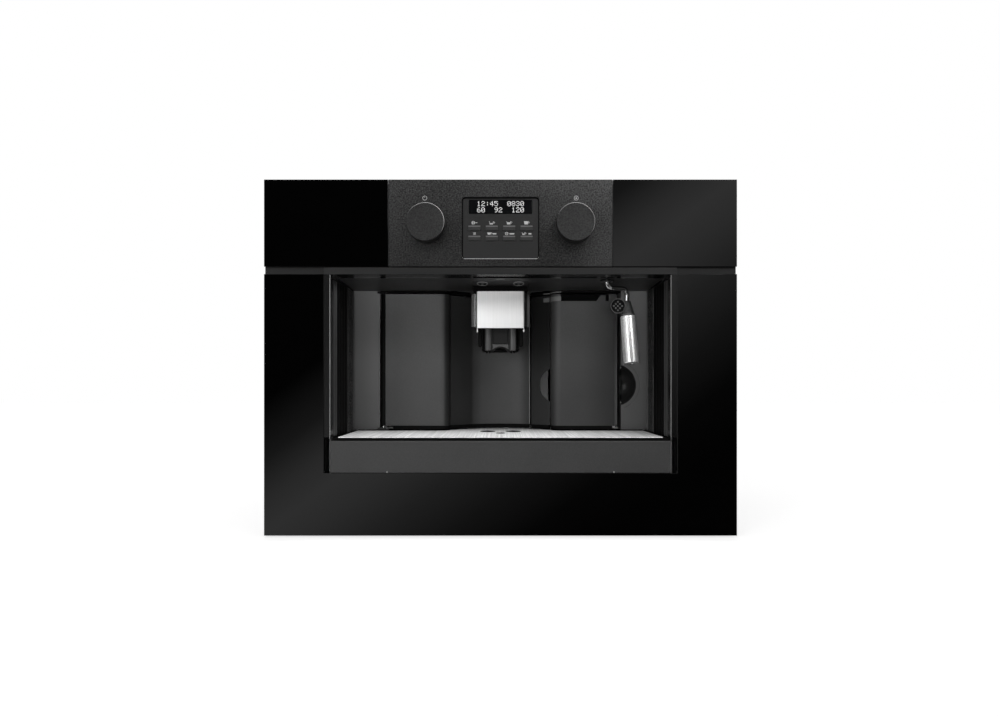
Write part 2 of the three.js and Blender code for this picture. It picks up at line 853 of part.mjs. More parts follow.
/** Plan of the tank, with the front left corner cut back behind the panel's round corner. */
function tankPlan(inset) {
  const front = tankPanelBack + gap + inset;
  const left = tankLeft + tankInset + inset;
  const right = tankRight - tankInset - inset;
  const rear = tankRear - inset;
  return [
    [cornerX, front], [right, front], [right, rear], [left, rear],
    [left, seamDepth + gap + inset],
  ];
}
piece('water_tank', cut(
  plan(tankPlan(0), standZ, tankTop),
  plan(tankPlan(tankWall), standZ + tankWall, tankTop + 1),
), 'clear');
piece('tank_lid', plan(tankPlan(0), tankTop + gap, tankTop + gap + tankLidThick, [
  rect(
    cornerX + fillInset, tankRight - fillInset,
    tankPanelBack + fillInset, tankPanelBack + fillInset + fillLength,
  ),
]), 'blackMatte');

// ------------------------------------------------------------------- steam wand

const tubePath = new THREE.CatmullRomCurve3([
  [wandX, wandY, wandTop], [wandX, wandY, tubeFoot + tubeStraight], [wandX, wandY, tubeFoot],
  [wandX + elbowX, wandY + elbowY, tubeFoot - elbowDrop],
  [wandX + armX, wandY + armY, tubeFoot - armDrop],
  [wandX + wristX, wandY + wristY, tubeFoot - wristDrop],
  [wandJointX - tubeEndX, wandJointY + tubeEndY, wandJointZ + tubeEndRise],
].map(([x, y, z]) => new THREE.Vector3(x, y, z)), false, 'centripetal');
piece('steam_tube', new THREE.ExtrudeGeometry(
  new THREE.Shape(vectors(circle(0, 0, tubeRadius, 10))),
  { steps: 26, bevelEnabled: false, extrudePath: tubePath },
), 'polished');

// the lower wand hangs from this joint and leans a little toward the user
const wand = new THREE.Group();
wand.position.set(wandJointX, wandJointY, wandJointZ);
wand.quaternion.setFromUnitVectors(
  new THREE.Vector3(0, 0, -1),
  new THREE.Vector3(wandLeanX, wandLeanY, wandLeanZ).normalize(),
);
machine.add(wand);

piece('wand_grip', join(
  turned([
    [0, 0], [gripFootRadius, 0], [gripFootRadius, gripFoot], [gripTopRadius, gripHeight],
    [0, gripHeight],
  ]),
  box(
    -paddleReach, 0, -paddleThick / 2, paddleThick / 2,
    paddleRise - paddleArm / 2, paddleRise + paddleArm / 2,
  ),
  cylinderY(-paddleReach, paddleRise, paddleRadius, -paddleThick / 2, paddleThick / 2, 28),
), 'blackMatte', wand);

piece('wand_nozzle', turned([
  [0, -wandNozzleLength], [wandNozzleRadius - nozzleChamfer, -wandNozzleLength],
  [wandNozzleRadius, -wandNozzleLength + 2 * nozzleChamfer], [wandNozzleRadius, -gap], [0, -gap],
], 20), 'polished', wand);

piece('wand_sleeve', turned([
  [sleeveBore, -sleeveLength], [sleeveFootRadius, -sleeveLength],
  [sleeveTopRadius, -gap], [wandNozzleRadius + runningGap, -gap],
  [wandNozzleRadius + runningGap, -sleeveCollar], [sleeveBore, -sleeveCollar],
  [sleeveBore, -sleeveLength],
]), 'polished', wand);

// ------------------------------------------------------------------- controls

const keypadBack = keypadRecess + keypadThick;
const displayHole = rect(-displayHalf, displayHalf, displayFoot, displayHead);
const buttonXs = Array.from(
  { length: buttonColumns },
  (_, i) => (i - (buttonColumns - 1) / 2) * buttonPitchX,
);
const buttonRows = Array.from(
  { length: buttonRowCount },
  (_, row) => buttonRowTop - row * buttonPitchZ,
);

/** Outline of a button, or of its hole when it is grown by a clearance. */
function buttonOutline(x, z, grow) {
  const w = buttonWidth / 2 + grow;
  const h = buttonHeight / 2 + grow;
  return roundRect(x - w, x + w, z - h, z + h, buttonRound + grow, 2);
}

const buttonHoles = buttonRows.flatMap((z) => buttonXs.map((x) => buttonOutline(x, z, runningGap)));
piece('keypad_plate', upright(
  roundRect(
    -windowHalf + gap, windowHalf - gap, windowFoot + gap, windowHead - gap, windowRound - gap,
  ),
  keypadRecess, keypadBack, [displayHole, ...buttonHoles],
), 'darkGrey');

piece('display_glass', box(
  -displayHalf + gap, displayHalf - gap, keypadRecess - gap, keypadRecess + displayThick,
  displayFoot + gap, displayHead - gap,
), 'display');

buttonRows.forEach((z, row) => {
  buttonXs.forEach((x, column) => {
    const flangeFront = keypadBack + gap;
    const cap = upright(buttonOutline(x, z, 0), buttonRecess, flangeFront + buttonFlange);
    const rimHalf = buttonWidth / 2 + buttonRim;
    const rimRise = buttonHeight / 2 + buttonRim;
    const flange = box(
      x - rimHalf, x + rimHalf, flangeFront, flangeFront + buttonFlange, z - rimRise, z + rimRise,
    );
    const stem = box(
      x - stemWidth / 2, x + stemWidth / 2, flangeFront, boardFront - buttonTravel - gap,
      z - stemWidth / 2, z + stemWidth / 2,
    );
    piece(`button_${row + 1}_${column + 1}`, join(cap, flange, stem), 'darkGrey');
  });
});

piece('control_board', box(
  -controlHalf - boardMargin, controlHalf + boardMargin, boardFront, boardFront + boardThick,
  controlFoot - boardMargin, housingTop - sheet - 1,
), 'board');

for (const [sideName, x] of [['left', -knobX], ['right', knobX]]) {
  // the shaft is a push rod: its collar stops behind the fascia
  const collarFront = glassThick + gap;
  piece(`knob_shaft_${sideName}`, join(
    cylinderY(x, knobZ, shaftRadius, -knobProud + shaftShort, boardFront - pushTravel - gap, 16),
    cylinderY(x, knobZ, shaftCollar, collarFront, collarFront + collarThick),
  ), 'brass');
  // turned about its own axis, then laid toward the user
  const inner = shaftRadius + gap;
  const depth = knobProud - knobLift;
  const boreEnd = depth - shaftShort + gap;
  const knob = piece(`knob_${sideName}`, turned([
    [0, boreEnd], [inner, boreEnd], [inner, 0], [inner + knobHub, 0], [inner + knobHub, knobHollow],
    [knobRadius - knobSkirt, knobHollow], [knobRadius - knobSkirt, 0], [knobRadius, 0],
    [knobRadius, depth - knobCrown], [knobRadius - knobCrown, depth], [0, depth],
  ], 40), 'satinMetal');
  knob.rotation.x = Math.PI / 2;
  knob.position.set(x, -knobLift, knobZ);
}

// ------------------------------------------------------------------- housing

const hopperRear = grinderY - grinderRadius - gap;
const topHoles = [
  rect(hopperLeft - gap, hopperRight + gap, hopperFront - gap, hopperRear + gap),
  circle(grinderX, grinderY, shaftRadius + runningGap, 16),
];
piece('housing_wrap', cut(
  upright([
    [-housingHalf, housingFoot], [-wrapInner, housingFoot], [-wrapInner, housingTop - sheet],
    [wrapInner, housingTop - sheet], [wrapInner, housingFoot], [housingHalf, housingFoot],
    [housingHalf, housingTop], [-housingHalf, housingTop],
  ], boardFront, housingRear),
  ...topHoles.map((hole) => plan(hole, housingTop - sheet - 1, housingTop + 1)),
), 'sheetMetal');

const floorHalf = wrapInner - gap;
const chassisFront = frameBack + gap;
const coverRear = housingRear - gap;
const coverFront = coverRear - sheet;
const deckEdge = backOutline(-deckSetback);
const deckPlan = [
  [-deckHalf, rearWallY], [-deckHalf, wingDepth + deckSetback],
  ...mirrored(deckEdge), ...deckEdge.slice(1),
  [deckHalf, wingDepth + deckSetback], [deckHalf, rearWallY],
];
piece('chassis', cut(
  join(
    box(-floorHalf, floorHalf, chassisFront, coverFront - gap, housingFoot, housingFoot + deckSheet),
    ...[-webX - deckSheet, webX].map((x) => (
      box(x, x + deckSheet, chassisFront, rearWallY, housingFoot, deckTop)
    )),
    box(-webX, webX, chassisFront, riserY, shelfZ, shelfZ + deckSheet),
    box(-webX - 1, webX + 1, riserY, riserY + deckSheet, shelfZ, deckTop),
    box(-webX - 1, webX + 1, riserY, rearWallY, deckZ, deckTop),
    plan(deckPlan, deckZ, deckTop),
    box(-webX, webX, rearWallY, rearWallY + deckSheet, housingFoot, deckTop),
    box(-rearWallHalf, rearWallHalf, rearWallY, rearWallY + deckSheet, deckZ, upperShelfZ + deckSheet),
    box(
      -upperShelfHalf, upperShelfHalf, upperShelfFront, rearWallY + 1,
      upperShelfZ, upperShelfZ + deckSheet,
    ),
  ),
  cylinderZ(grinderX, grinderY, chuteRadius + gap, upperShelfZ - 1, upperShelfZ + deckSheet + 1),
), 'sheetMetal');

const vents = Array.from({ length: ventRows }, (_, i) => {
  const foot = ventFoot + i * ventPitch;
  return roundRect(ventLeft, ventRight, foot, foot + ventHeight, ventHeight / 2 - gap, 2);
});

/** Rectangle about a centre, in x and z. */
function around(x, z, halfWidth, halfHeight) {
  return rect(x - halfWidth, x + halfWidth, z - halfHeight, z + halfHeight);
}

const inletHalf = inletWidth / 2;
const inletRise = inletHeight / 2;
piece('back_cover', upright(
  rect(-floorHalf, floorHalf, floorZ, housingTop - sheet - gap), coverFront, coverRear,
  [
    ...vents,
    around(inletX, inletZ, inletHalf + gap, inletRise + gap),
    around(
      switchX, inletZ, switchWidth / 2 + runningGap, switchHeight / 2 + switchClear,
    ),
  ],
), 'sheetMetal');

const inletRear = coverRear + gap + inletFlangeThick;
const inletFront = inletRear - inletDepth;
const pins = [[-pinPitch, pinRise], [0, -pinRise], [pinPitch, pinRise]].map(([x, z]) => upright(
  around(inletX + x, inletZ + z, pinWidth / 2, pinHeight / 2),
  inletFront + inletWall, inletRear - pinShort,
));
piece('power_inlet', join(
  cut(
    join(
      upright(around(inletX, inletZ, inletHalf, inletRise), inletFront, inletRear),
      upright(
        around(inletX, inletZ, inletHalf + inletFlange, inletRise + inletFlange),
        inletRear - inletFlangeThick, inletRear,
      ),
    ),
    upright(
      around(inletX, inletZ, inletHalf - inletWall, inletRise - inletWall),
      inletFront + 2 * inletWall, inletRear + 1,
    ),
  ),
  ...pins,
), 'blackMatte');

// rocker: two faces that meet at a blunt angle on the pivot's line
const rockerTop = inletZ + switchHeight / 2;
const rockerFoot = inletZ - switchHeight / 2;
piece('main_switch', side([
  [coverRear - switchDepth, rockerFoot + switchTaper], [coverRear + switchProud, rockerFoot],
  [coverRear + switchWaist, inletZ], [coverRear + switchProud, rockerTop],
  [coverRear - switchDepth, rockerTop - switchTaper],
], switchX - switchWidth / 2, switchX + switchWidth / 2), 'blackMatte');

// ------------------------------------------------------------------- inner works

/** Side view of the hopper, drawn smaller by its wall for the hollow. */
function hopperSide(inset, top) {
  const slope = inset * slopedWall;
  return [
    [hopperFront + inset, top], [hopperFront + inset, hopperSlope + slope],
    [hopperThroat, hopperFoot + slope], [hopperRear - inset, hopperFoot + slope],
    [hopperRear - inset, top],
  ].reverse();
}
const flangeFoot = housingTop + gap;
const flangeHead = flangeFoot + hopperRimThick;
piece('bean_hopper', cut(
  join(
    side(hopperSide(0, flangeHead), hopperLeft, hopperRight),
    box(
      hopperLeft - hopperFlange, hopperRight + hopperFlange, hopperFront - hopperFlange,
      hopperRear + hopperFlange, flangeFoot, flangeHead,
    ),
  ),
  side(hopperSide(hopperWall, flangeHead + 1), hopperLeft + hopperWall, hopperRight - hopperWall),
  // outlet to the grinder
  box(
    grinderX - outletWidth / 2, grinderX + outletWidth / 2,
    hopperRear - 2 * hopperWall, hopperRear + 1,
    hopperFoot + outletLift, hopperFoot + outletLift + outletHeight,
  ),
), 'clear');

piece('bean_lid', box(
  hopperLeft - hopperFlange, hopperRight + hopperFlange, hopperFront - hopperFlange,
  hopperRear + hopperFlange, flangeHead + gap, flangeHead + gap + lidThick,
), 'blackMatte');

const grinderFoot = upperShelfZ + deckSheet + gap;
piece('grinder', turned([
  [0, chuteFoot], [chuteRadius, chuteFoot], [chuteRadius, grinderFoot],
  [grinderRadius, grinderFoot], [grinderRadius, grinderTop - grinderNeck],
  [grinderRadius - grinderNeck, grinderTop],
  [0, grinderTop],
], 28).translate(grinderX, grinderY, 0), 'blackMatte');

const adjusterFoot = housingTop + gap;
piece('grind_adjuster', turned([
  [0, grinderTop + gap], [shaftRadius, grinderTop + gap], [shaftRadius, adjusterFoot],
  [adjusterRadius, adjusterFoot], [adjusterRadius, adjusterFoot + adjusterHeight - 1],
  [adjusterRadius - 1, adjusterFoot + adjusterHeight], [0, adjusterFoot + adjusterHeight],
], 24).translate(grinderX, grinderY, 0), 'blackMatte');

const brewHalf = brewWidth / 2;
const chamberTop = brewSill + brewChamber;
const headFoot = chamberTop + pistonStroke + pistonLength;
piece('brew_unit', join(
  box(brewX - brewHalf, brewX + brewHalf, brewFront, brewRear, standZ, brewSill),
  box(brewX - brewHalf, brewX + brewHalf, brewRear - brewBack, brewRear, brewSill - 1, brewTop),
  cylinderZ(brewX, brewAxisY, brewRadius, brewSill - 1, chamberTop, 24),
  box(
    brewX - pistonHead / 2, brewX + pistonHead / 2, brewAxisY - pistonHead / 2,
    brewRear - brewBack + 1, headFoot, brewTop,
  ),
  cylinderZ(brewX, brewAxisY, pistonRadius, chamberTop + pistonStroke, headFoot + 1, 24),
), 'darkGrey');

const binFront = wingDepth + deckSetback + binClear;
const binRight = binLeft + binWidth;
piece('grounds_container', cut(
  box(binLeft, binRight, binFront, binRear, standZ, binTop),
  box(
    binLeft + binWall, binRight - binWall, binFront + binWall, binRear - binWall,
    standZ + binWall, binTop + 1,
  ),
), 'blackMatte');

// pump and boiler stand on the floor of the chassis, under the deck
const pumpZ = floorZ + pumpFootHeight + pumpRadius - 2;
const pumpRear = pumpFront + pumpLength;
const pumpMiddle = (pumpFront + pumpRear) / 2;
piece('pump', join(
  box(
    pumpX - pumpFootWidth / 2, pumpX + pumpFootWidth / 2, pumpFront + 5, pumpRear - 5,
    floorZ, floorZ + pumpFootHeight,
  ),
  cylinderY(pumpX, pumpZ, pumpRadius, pumpFront, pumpMiddle, 24),
  cylinderY(pumpX, pumpZ, pumpTail, pumpMiddle - 1, pumpRear),
  box(pumpX - 4, pumpX + 4, pumpFront + 5, pumpRear - 5, floorZ + 1, pumpZ),
), 'brass');

const boilerY = boilerFront + boilerDepth / 2;
piece('boiler', join(
  box(
    boilerX - boilerSide / 2, boilerX + boilerSide / 2, boilerFront, boilerFront + boilerDepth,
    floorZ, boilerTop,
  ),
  cylinderZ(boilerX, boilerY, boilerDome, boilerTop - 1, boilerTop + boilerDomeRise, 28),
  ...[-boilerPortSpread, boilerPortSpread].map((x) => cylinderZ(
    boilerX + x, boilerFront + 3 * boilerPortRadius, boilerPortRadius,
    boilerTop - 1, boilerTop + boilerPortRise, 12,
  )),
), 'sheetMetal');

// ------------------------------------------------------------------- origin

// the origin is the centre of the bounding box's footprint, on the floor of the niche
machine.position.y = -(inletRear - knobProud) / 2;

export default machine;
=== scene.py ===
# %% [markdown]
# # Dressing a built-in coffee machine
#
# The frame holds the machine's solids in their true sizes: a black glass front, a satin control
# fascia, and an alcove with the spout, the service door, the water tank, the steam wand and the drip
# tray. This lesson gives each of them the surface that a maker would give it, and replaces the pieces
# whose small forms matter most in a picture. Everything is in metres, in the frame's own place, so
# nothing has to be fitted.

# %% Load the frame
from math import acos, atan2, cos, degrees, pi, radians, sin, sqrt, tan

import bmesh
import bpy
from mathutils import Matrix, Vector


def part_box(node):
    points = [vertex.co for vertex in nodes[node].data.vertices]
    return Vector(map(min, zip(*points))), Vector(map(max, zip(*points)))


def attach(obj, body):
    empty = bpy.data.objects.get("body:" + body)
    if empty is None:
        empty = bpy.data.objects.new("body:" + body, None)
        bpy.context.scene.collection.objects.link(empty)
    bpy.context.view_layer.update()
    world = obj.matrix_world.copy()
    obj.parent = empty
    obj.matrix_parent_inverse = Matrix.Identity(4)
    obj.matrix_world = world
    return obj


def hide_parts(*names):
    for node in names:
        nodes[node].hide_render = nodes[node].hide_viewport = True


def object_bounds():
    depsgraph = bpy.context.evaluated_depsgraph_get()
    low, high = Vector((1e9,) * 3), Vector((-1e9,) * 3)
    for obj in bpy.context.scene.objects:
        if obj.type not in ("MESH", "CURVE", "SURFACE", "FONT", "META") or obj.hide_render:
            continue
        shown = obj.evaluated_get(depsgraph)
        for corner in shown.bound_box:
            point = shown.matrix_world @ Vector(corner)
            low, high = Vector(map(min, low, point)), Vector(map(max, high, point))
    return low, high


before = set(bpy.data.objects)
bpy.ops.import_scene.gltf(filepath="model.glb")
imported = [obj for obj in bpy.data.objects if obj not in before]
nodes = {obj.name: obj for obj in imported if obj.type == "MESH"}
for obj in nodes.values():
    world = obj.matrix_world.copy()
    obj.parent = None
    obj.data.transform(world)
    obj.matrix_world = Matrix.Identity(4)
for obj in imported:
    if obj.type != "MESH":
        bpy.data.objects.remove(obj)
bpy.context.view_layer.update()
cad_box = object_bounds()

# %% [markdown]
# ## One set of measures
#
# A drawing of an appliance front is read in millimetres: across from the middle, back from the glass
# face, and up from the foot. The pieces below are drawn that way and then carried into the frame by
# one matrix. The sizes that they share are measured on the solids, so a piece stays in its place
# when a solid is made larger or smaller.

# %% Measures taken from the solids
mm = 0.001
glass_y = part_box("lower_glass")[0].y
to_frame = Matrix.Translation((0, glass_y, 0)) @ Matrix.Scale(mm, 4)


def measured(node):
    """The lowest and highest corner of a solid, in millimetres back from the glass face."""
    back = to_frame.inverted()
    return tuple(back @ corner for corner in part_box(node))


def middle_of(node):
    """The middle of a solid, measured the same way."""
    low, high = measured(node)
    return (low + high) / 2


glass_low, glass_high = measured("lower_glass")
alcove_low, alcove_high = measured("alcove_trim")
both_sides = (("left", -1), ("right", 1))
print("front", round(glass_high.x - glass_low.x, 1), "mm wide, alcove trim",
      round(alcove_high.x - alcove_low.x, 1), "mm wide")

# %% [markdown]
# ## A small kit for finishes
#
# A finish on a real machine is never one flat colour. Moulded plastic has a fine spark texture,
# brushed steel has long scratches, paint has a grain. Blender can draw all of them from noise that is
# laid out in the object's own coordinates, which needs no picture file and stays on the piece when it
# moves. Two classes keep that short: the first adds nodes to a tree one at a time, the second opens a
# Principled material with it.

# %% The finish kit
class Tree:
    """The nodes of a material or a world, added one at a time."""

    def __init__(self, owner):
        owner.use_nodes = True
        self.nodes, self.links = owner.node_tree.nodes, owner.node_tree.links

    def feed(self, socket, value):
        """Give a socket a number or a colour, or the output of another node."""
        if isinstance(value, bpy.types.NodeSocket):
            self.links.new(value, socket)
        else:
            socket.default_value = value

    def add(self, kind, inputs=(), **settings):
        """Add a node, set its options, and fill its inputs by name or by number."""
        node = self.nodes.new(kind)
        for key, value in settings.items():
            setattr(node, key, value)
        for socket, value in dict(inputs).items():
            self.feed(node.inputs[socket], value)
        return node

    def spread(self, value, start, end, low=0.0, high=1.0, kind="LINEAR"):
        """Stretch the part of a pattern between start and end over low to high."""
        inputs = {"Value": value, "From Min": start, "From Max": end, "To Min": low, "To Max": high}
        return self.add("ShaderNodeMapRange", inputs, interpolation_type=kind).outputs["Result"]

    def maths(self, operation, first, second=0.0):
        """One sum on two values."""
        return self.add("ShaderNodeMath", {0: first, 1: second}, operation=operation).outputs["Value"]

    def vectors(self, operation, first, second, result="Value"):
        """One sum on two vectors."""
        node = self.add("ShaderNodeVectorMath", {0: first, 1: second}, operation=operation)
        return node.outputs[result]

    def split(self, vector):
        """The three parts of a vector, by name."""
        return self.add("ShaderNodeSeparateXYZ", {"Vector": vector}).outputs


class Finish(Tree):
    """A Principled material with its details; patterns lie in the piece's own coordinates."""

    def __init__(self, name, colour, metallic, roughness, **sockets):
        self.material = bpy.data.materials.new(name)
        super().__init__(self.material)
        self.shader = self.nodes["Principled BSDF"]
        self.place = self.add("ShaderNodeTexCoord").outputs["Object"]
        self.set("Base Color", (*colour, 1))
        self.set("Metallic", metallic)
        self.set("Roughness", roughness)
        for socket, value in sockets.items():
            self.set(socket.replace("_", " "), value)

    def set(self, socket, value):
        """Feed one of the shader's own sockets."""
        self.feed(self.shader.inputs[socket], value)

    def noise(self, grain, detail=2.0):
        """Noise whose spots are grain millimetres large, along each axis if three are given."""
        sizes = grain if isinstance(grain, tuple) else (grain,) * 3
        scales = tuple(1 / (size * mm) for size in sizes)
        spots = self.add("ShaderNodeMapping", {"Vector": self.place, "Scale": scales})
        inputs = {"Vector": spots.outputs["Vector"], "Scale": 1.0, "Detail": detail}
        return self.add("ShaderNodeTexNoise", inputs).outputs["Fac"]

    def along(self, axis):
        """One of the piece's own coordinates, in metres."""
        return self.split(self.place)[axis]

    def facing(self, axis):
        """How far the surface looks along an axis, from -1 to 1."""
        return self.split(self.add("ShaderNodeNewGeometry").outputs["Normal"])[axis]

    def height(self, foot, head):
        """A share that grows from 0 at the foot to 1 at the head, in millimetres, slowly at first."""
        return self.maths("POWER", self.spread(self.along("Z"), foot * mm, head * mm), 2.0)

    def blend(self, share, first, second):
        """A colour between two others."""
        first, second = ((*c, 1) if isinstance(c, tuple) else c for c in (first, second))
        factor, from_colour, to_colour, blended = 0, 6, 7, 2
        inputs = {factor: share, from_colour: first, to_colour: second}
        return self.add("ShaderNodeMix", inputs, data_type="RGBA").outputs[blended]

    def colour(self):
        """What feeds the shader's colour so far."""
        return self.shader.inputs["Base Color"].links[0].from_socket

    def toned(self, share, start, end):
        """Multiply the colour by start to end, following a share from 0 to 1."""
        level = self.spread(share, 0, 1, start, end)
        inputs = {0: self.colour(), "Scale": level}
        scaled = self.add("ShaderNodeVectorMath", inputs, operation="SCALE")
        self.set("Base Color", scaled.outputs["Vector"])

    def faded(self, axis, start, end, low, high):
        """Multiply the colour by low to high between two places in millimetres."""
        self.toned(self.spread(self.along(axis), start * mm, end * mm), low, high)

    def mottled(self, pattern, dark, light, smooth, rough, start=0.3, end=0.7):
        """Let the colour and the gloss follow one pattern."""
        self.set("Base Color", self.blend(pattern, dark, light))
        self.set("Roughness", self.spread(pattern, start, end, smooth, rough))

    def bumps(self, height, depth):
        """Raise the surface by a pattern, depth millimetres at most."""
        inputs = {"Height": height, "Distance": depth * mm, "Strength": 1.0}
        self.set("Normal", self.add("ShaderNodeBump", inputs).outputs["Normal"])


def grey(level):
    """A neutral colour."""
    return (level, level, level)


print("finish kit ready")

# %% [markdown]
# ## Glass and gloss
#
# The front is toughened glass, painted black on its back. It is nearly black itself, and what one sees
# on it is the room's reflection, so its base is very dark and its surface very smooth, with only a
# faint unevenness where it was wiped. The alcove is lined with a polished black moulding whose two
# narrow back columns have the door's grey satin. One material covers both, because the liner is one
# moulding: a mask on its own depth tells the columns from the walls.

# %% Glass and gloss finishes
black_glass = Finish("black_glass", grey(0.0006), 0.0, 0.03, IOR=1.5)
black_glass.mottled(black_glass.noise((60, 60, 25)), grey(0.0004), grey(0.0008), 0.02, 0.045)

door_grey = 0.067
column_face = measured("tank_front")[0].y
ceiling_z = alcove_high.z - 8.3
dish_x, dish_z, dish_radius = 166.0, 190.4, 33.0
dish_centre = to_frame @ Vector((dish_x, column_face - 15.0, dish_z))
stripe_x, stripe_radius, stripe_half = 127.0, 51.5, 1.6

liner = Finish("alcove_lining", grey(0.006), 0.0, 0.07, IOR=1.5)
behind_glass = liner.maths("SUBTRACT", liner.along("Y"), glass_y)
wall = liner.spread(behind_glass, (column_face - 0.4) * mm, (column_face - 0.7) * mm)
ceiling = liner.spread(liner.along("Z"), (ceiling_z - 0.5) * mm, (ceiling_z - 0.3) * mm)
speckle = liner.noise(0.9)
satin = liner.blend(speckle, grey(door_grey * 0.68), grey(door_grey * 0.85))
# Painted light: the columns' colour grows lighter towards the top, against the shade under the ceiling.
satin = liner.blend(liner.height(alcove_low.z, ceiling_z), satin, grey(door_grey * 2.0))

# Painted shade: the finger recess in the right column is painted nearly black, and a curved stripe across it
# darker still, as a painted shadow line.
from_dish = liner.vectors("DISTANCE", liner.place, dish_centre)
dish = liner.spread(from_dish, (dish_radius + 0.6) * mm, (dish_radius + 0.3) * mm)
elevation = liner.vectors("MULTIPLY", liner.place, (1, 0, 1), "Vector")
from_stripe = liner.vectors("DISTANCE", elevation, (stripe_x * mm, 0, dish_z * mm))
off_stripe = liner.maths("SUBTRACT", from_stripe, stripe_radius * mm)
off_stripe = liner.maths("ABSOLUTE", off_stripe)
stripe = liner.spread(off_stripe, stripe_half * mm, stripe_half * 0.4 * mm)
satin = liner.blend(dish, satin, liner.blend(stripe, grey(0.007), grey(0.001)))

walls = liner.blend(wall, satin, grey(0.003))
ceiling_tone = liner.blend(speckle, grey(0.016), grey(0.021))
liner.set("Base Color", liner.blend(ceiling, walls, ceiling_tone))
satin_gloss = liner.spread(wall, 0, 1, liner.spread(dish, 0, 1, 0.4, 0.22), 0.06)
liner.set("Roughness", liner.spread(ceiling, 0, 1, satin_gloss, 0.4))
print("columns stand", round(column_face, 1), "mm behind the glass")

# %% [markdown]
# ## Satin metal and plastics
#
# The fascia and the knobs are metal with a fine, even grain, such as bead blasting leaves. The door,
# the tank's panel and the tray are moulded in dark grey with a soft spark texture, and the parts
# behind them are plain black. All four differ only in tone, in the size of their grain and in how
# wide it scatters the light, so they are made by one function.

# %% Grained finishes
def grained(name, level, metallic, roughness, grain, unevenness, depth, **sockets):
    """A grey finish whose tone, gloss and surface follow one fine grain and one broad cloud."""
    finish = Finish(name, grey(level), metallic, roughness, **sockets)
    fine = finish.noise(grain)
    broad = finish.noise(grain * 40, detail=1.0)
    mixed = finish.maths("ADD", finish.maths("MULTIPLY", fine, 0.75),
                         finish.maths("MULTIPLY", broad, 0.25))
    share = finish.spread(mixed, 0.35, 0.65)
    dark, light = grey(level * (1 - unevenness)), grey(level * (1 + unevenness))
    finish.mottled(share, dark, light, roughness - 0.05, roughness + 0.05, 0, 1)
    finish.bumps(fine, depth)
    return finish


satin_metal = grained("satin_metal", 0.032, 0.6, 0.42, 1.8, 0.8, 0.07)
knob_metal = grained("knob_metal", 0.036, 0.6, 0.36, 1.6, 0.35, 0.02)
chamfer_metal = grained("chamfer_metal", 0.3, 0.9, 0.25, 0.4, 0.15, 0.005)
dark_plastic = grained("dark_plastic", 0.078, 0.45, 0.5, 1.2, 0.12, 0.02)
flank_plastic = grained("flank_plastic", 0.03, 0.5, 0.4, 1.2, 0.15, 0.02)
tray_plastic = grained("tray_plastic", 0.048, 0.3, 0.4, 1.2, 0.12, 0.02)
ceiling_satin = grained("ceiling_satin", 0.026, 0.0, 0.45, 1.0, 0.2, 0.01)
lintel_satin = grained("lintel_satin", 0.006, 0.0, 0.6, 1.0, 0.15, 0.01)
groove_metal = grained("groove_metal", 0.003, 0.2, 0.5, 0.8, 0.2, 0.01)
grip_gloss = grained("grip_gloss", 0.016, 0.0, 0.3, 0.5, 0.2, 0.005)
key_panel = grained("key_panel", 0.014, 0.2, 0.4, 1.0, 0.15, 0.01)
black_plastic = grained("black_plastic", 0.004, 0.0, 0.4, 0.6, 0.25, 0.02, Specular_IOR_Level=0.3)
seal_rubber = grained("seal_rubber", 0.002, 0.0, 0.7, 0.5, 0.3, 0.03, Specular_IOR_Level=0.1)
recess_satin = grained("recess_satin", 0.004, 0.2, 0.45, 0.8, 0.15, 0.01)
nozzle_satin = grained("nozzle_satin", 0.052, 0.4, 0.35, 0.5, 0.1, 0.01)
rib_gloss = grained("rib_gloss", 0.012, 0.0, 0.25, 0.5, 0.15, 0.005)
tab_grey = grained("tab_grey", 0.16, 0.0, 0.4, 0.6, 0.1, 0.01)
button_metal = grained("button_metal", 0.05, 0.5, 0.38, 0.5, 0.15, 0.01)

# Painted highlight: faces of the keys that look upwards are painted lighter.
painted_top_highlight = button_metal.spread(button_metal.facing("Z"), 0.25, 0.4)
button_metal.set("Base Color", button_metal.blend(painted_top_highlight, grey(0.04), grey(0.15)))

alcove_span, fascia_span = (131, 322), (339, 449)
door_satin = grained("door_satin", 0.06, 0.45, 0.5, 1.0, 0.12, 0.01)
# Painted light and shade: the door grows lighter towards the top, against the shade under the ceiling, and
# its faces that turn sideways are painted darker.
door_satin.toned(door_satin.height(*alcove_span), 0.8, 2.1)
sideways_share = door_satin.maths("ABSOLUTE", door_satin.facing("X"))
door_satin.toned(door_satin.spread(sideways_share, 0.35, 0.6), 1.05, 0.36)
tank_satin = grained("tank_satin", 0.055, 0.45, 0.5, 1.0, 0.12, 0.01)
# Painted light: the tank's panel grows lighter towards the top; painted shade darkens it towards its right
# end.
tank_satin.toned(tank_satin.height(*alcove_span), 0.65, 2.0)
tank_satin.faded("X", 120, 165, 1.0, 0.7)
# Painted light: the fascia grows lighter towards the top and towards the right.
satin_metal.toned(satin_metal.height(*fascia_span), 0.78, 1.4)
satin_metal.faded("X", 50, 140, 1.0, 1.3)
# Painted highlight and shade: the chamfer's colour is brighter where it faces up and to the right, and dark
# where it faces down and to the left.
chamfer_normal = chamfer_metal.add("ShaderNodeNewGeometry").outputs["Normal"]
up_and_right = chamfer_metal.vectors("DOT_PRODUCT", chamfer_normal, (0.35, 0.0, 0.6))
chamfer_metal.toned(chamfer_metal.spread(up_and_right, -0.1, 0.5), 0.1, 3.0)
print("grained finishes ready")

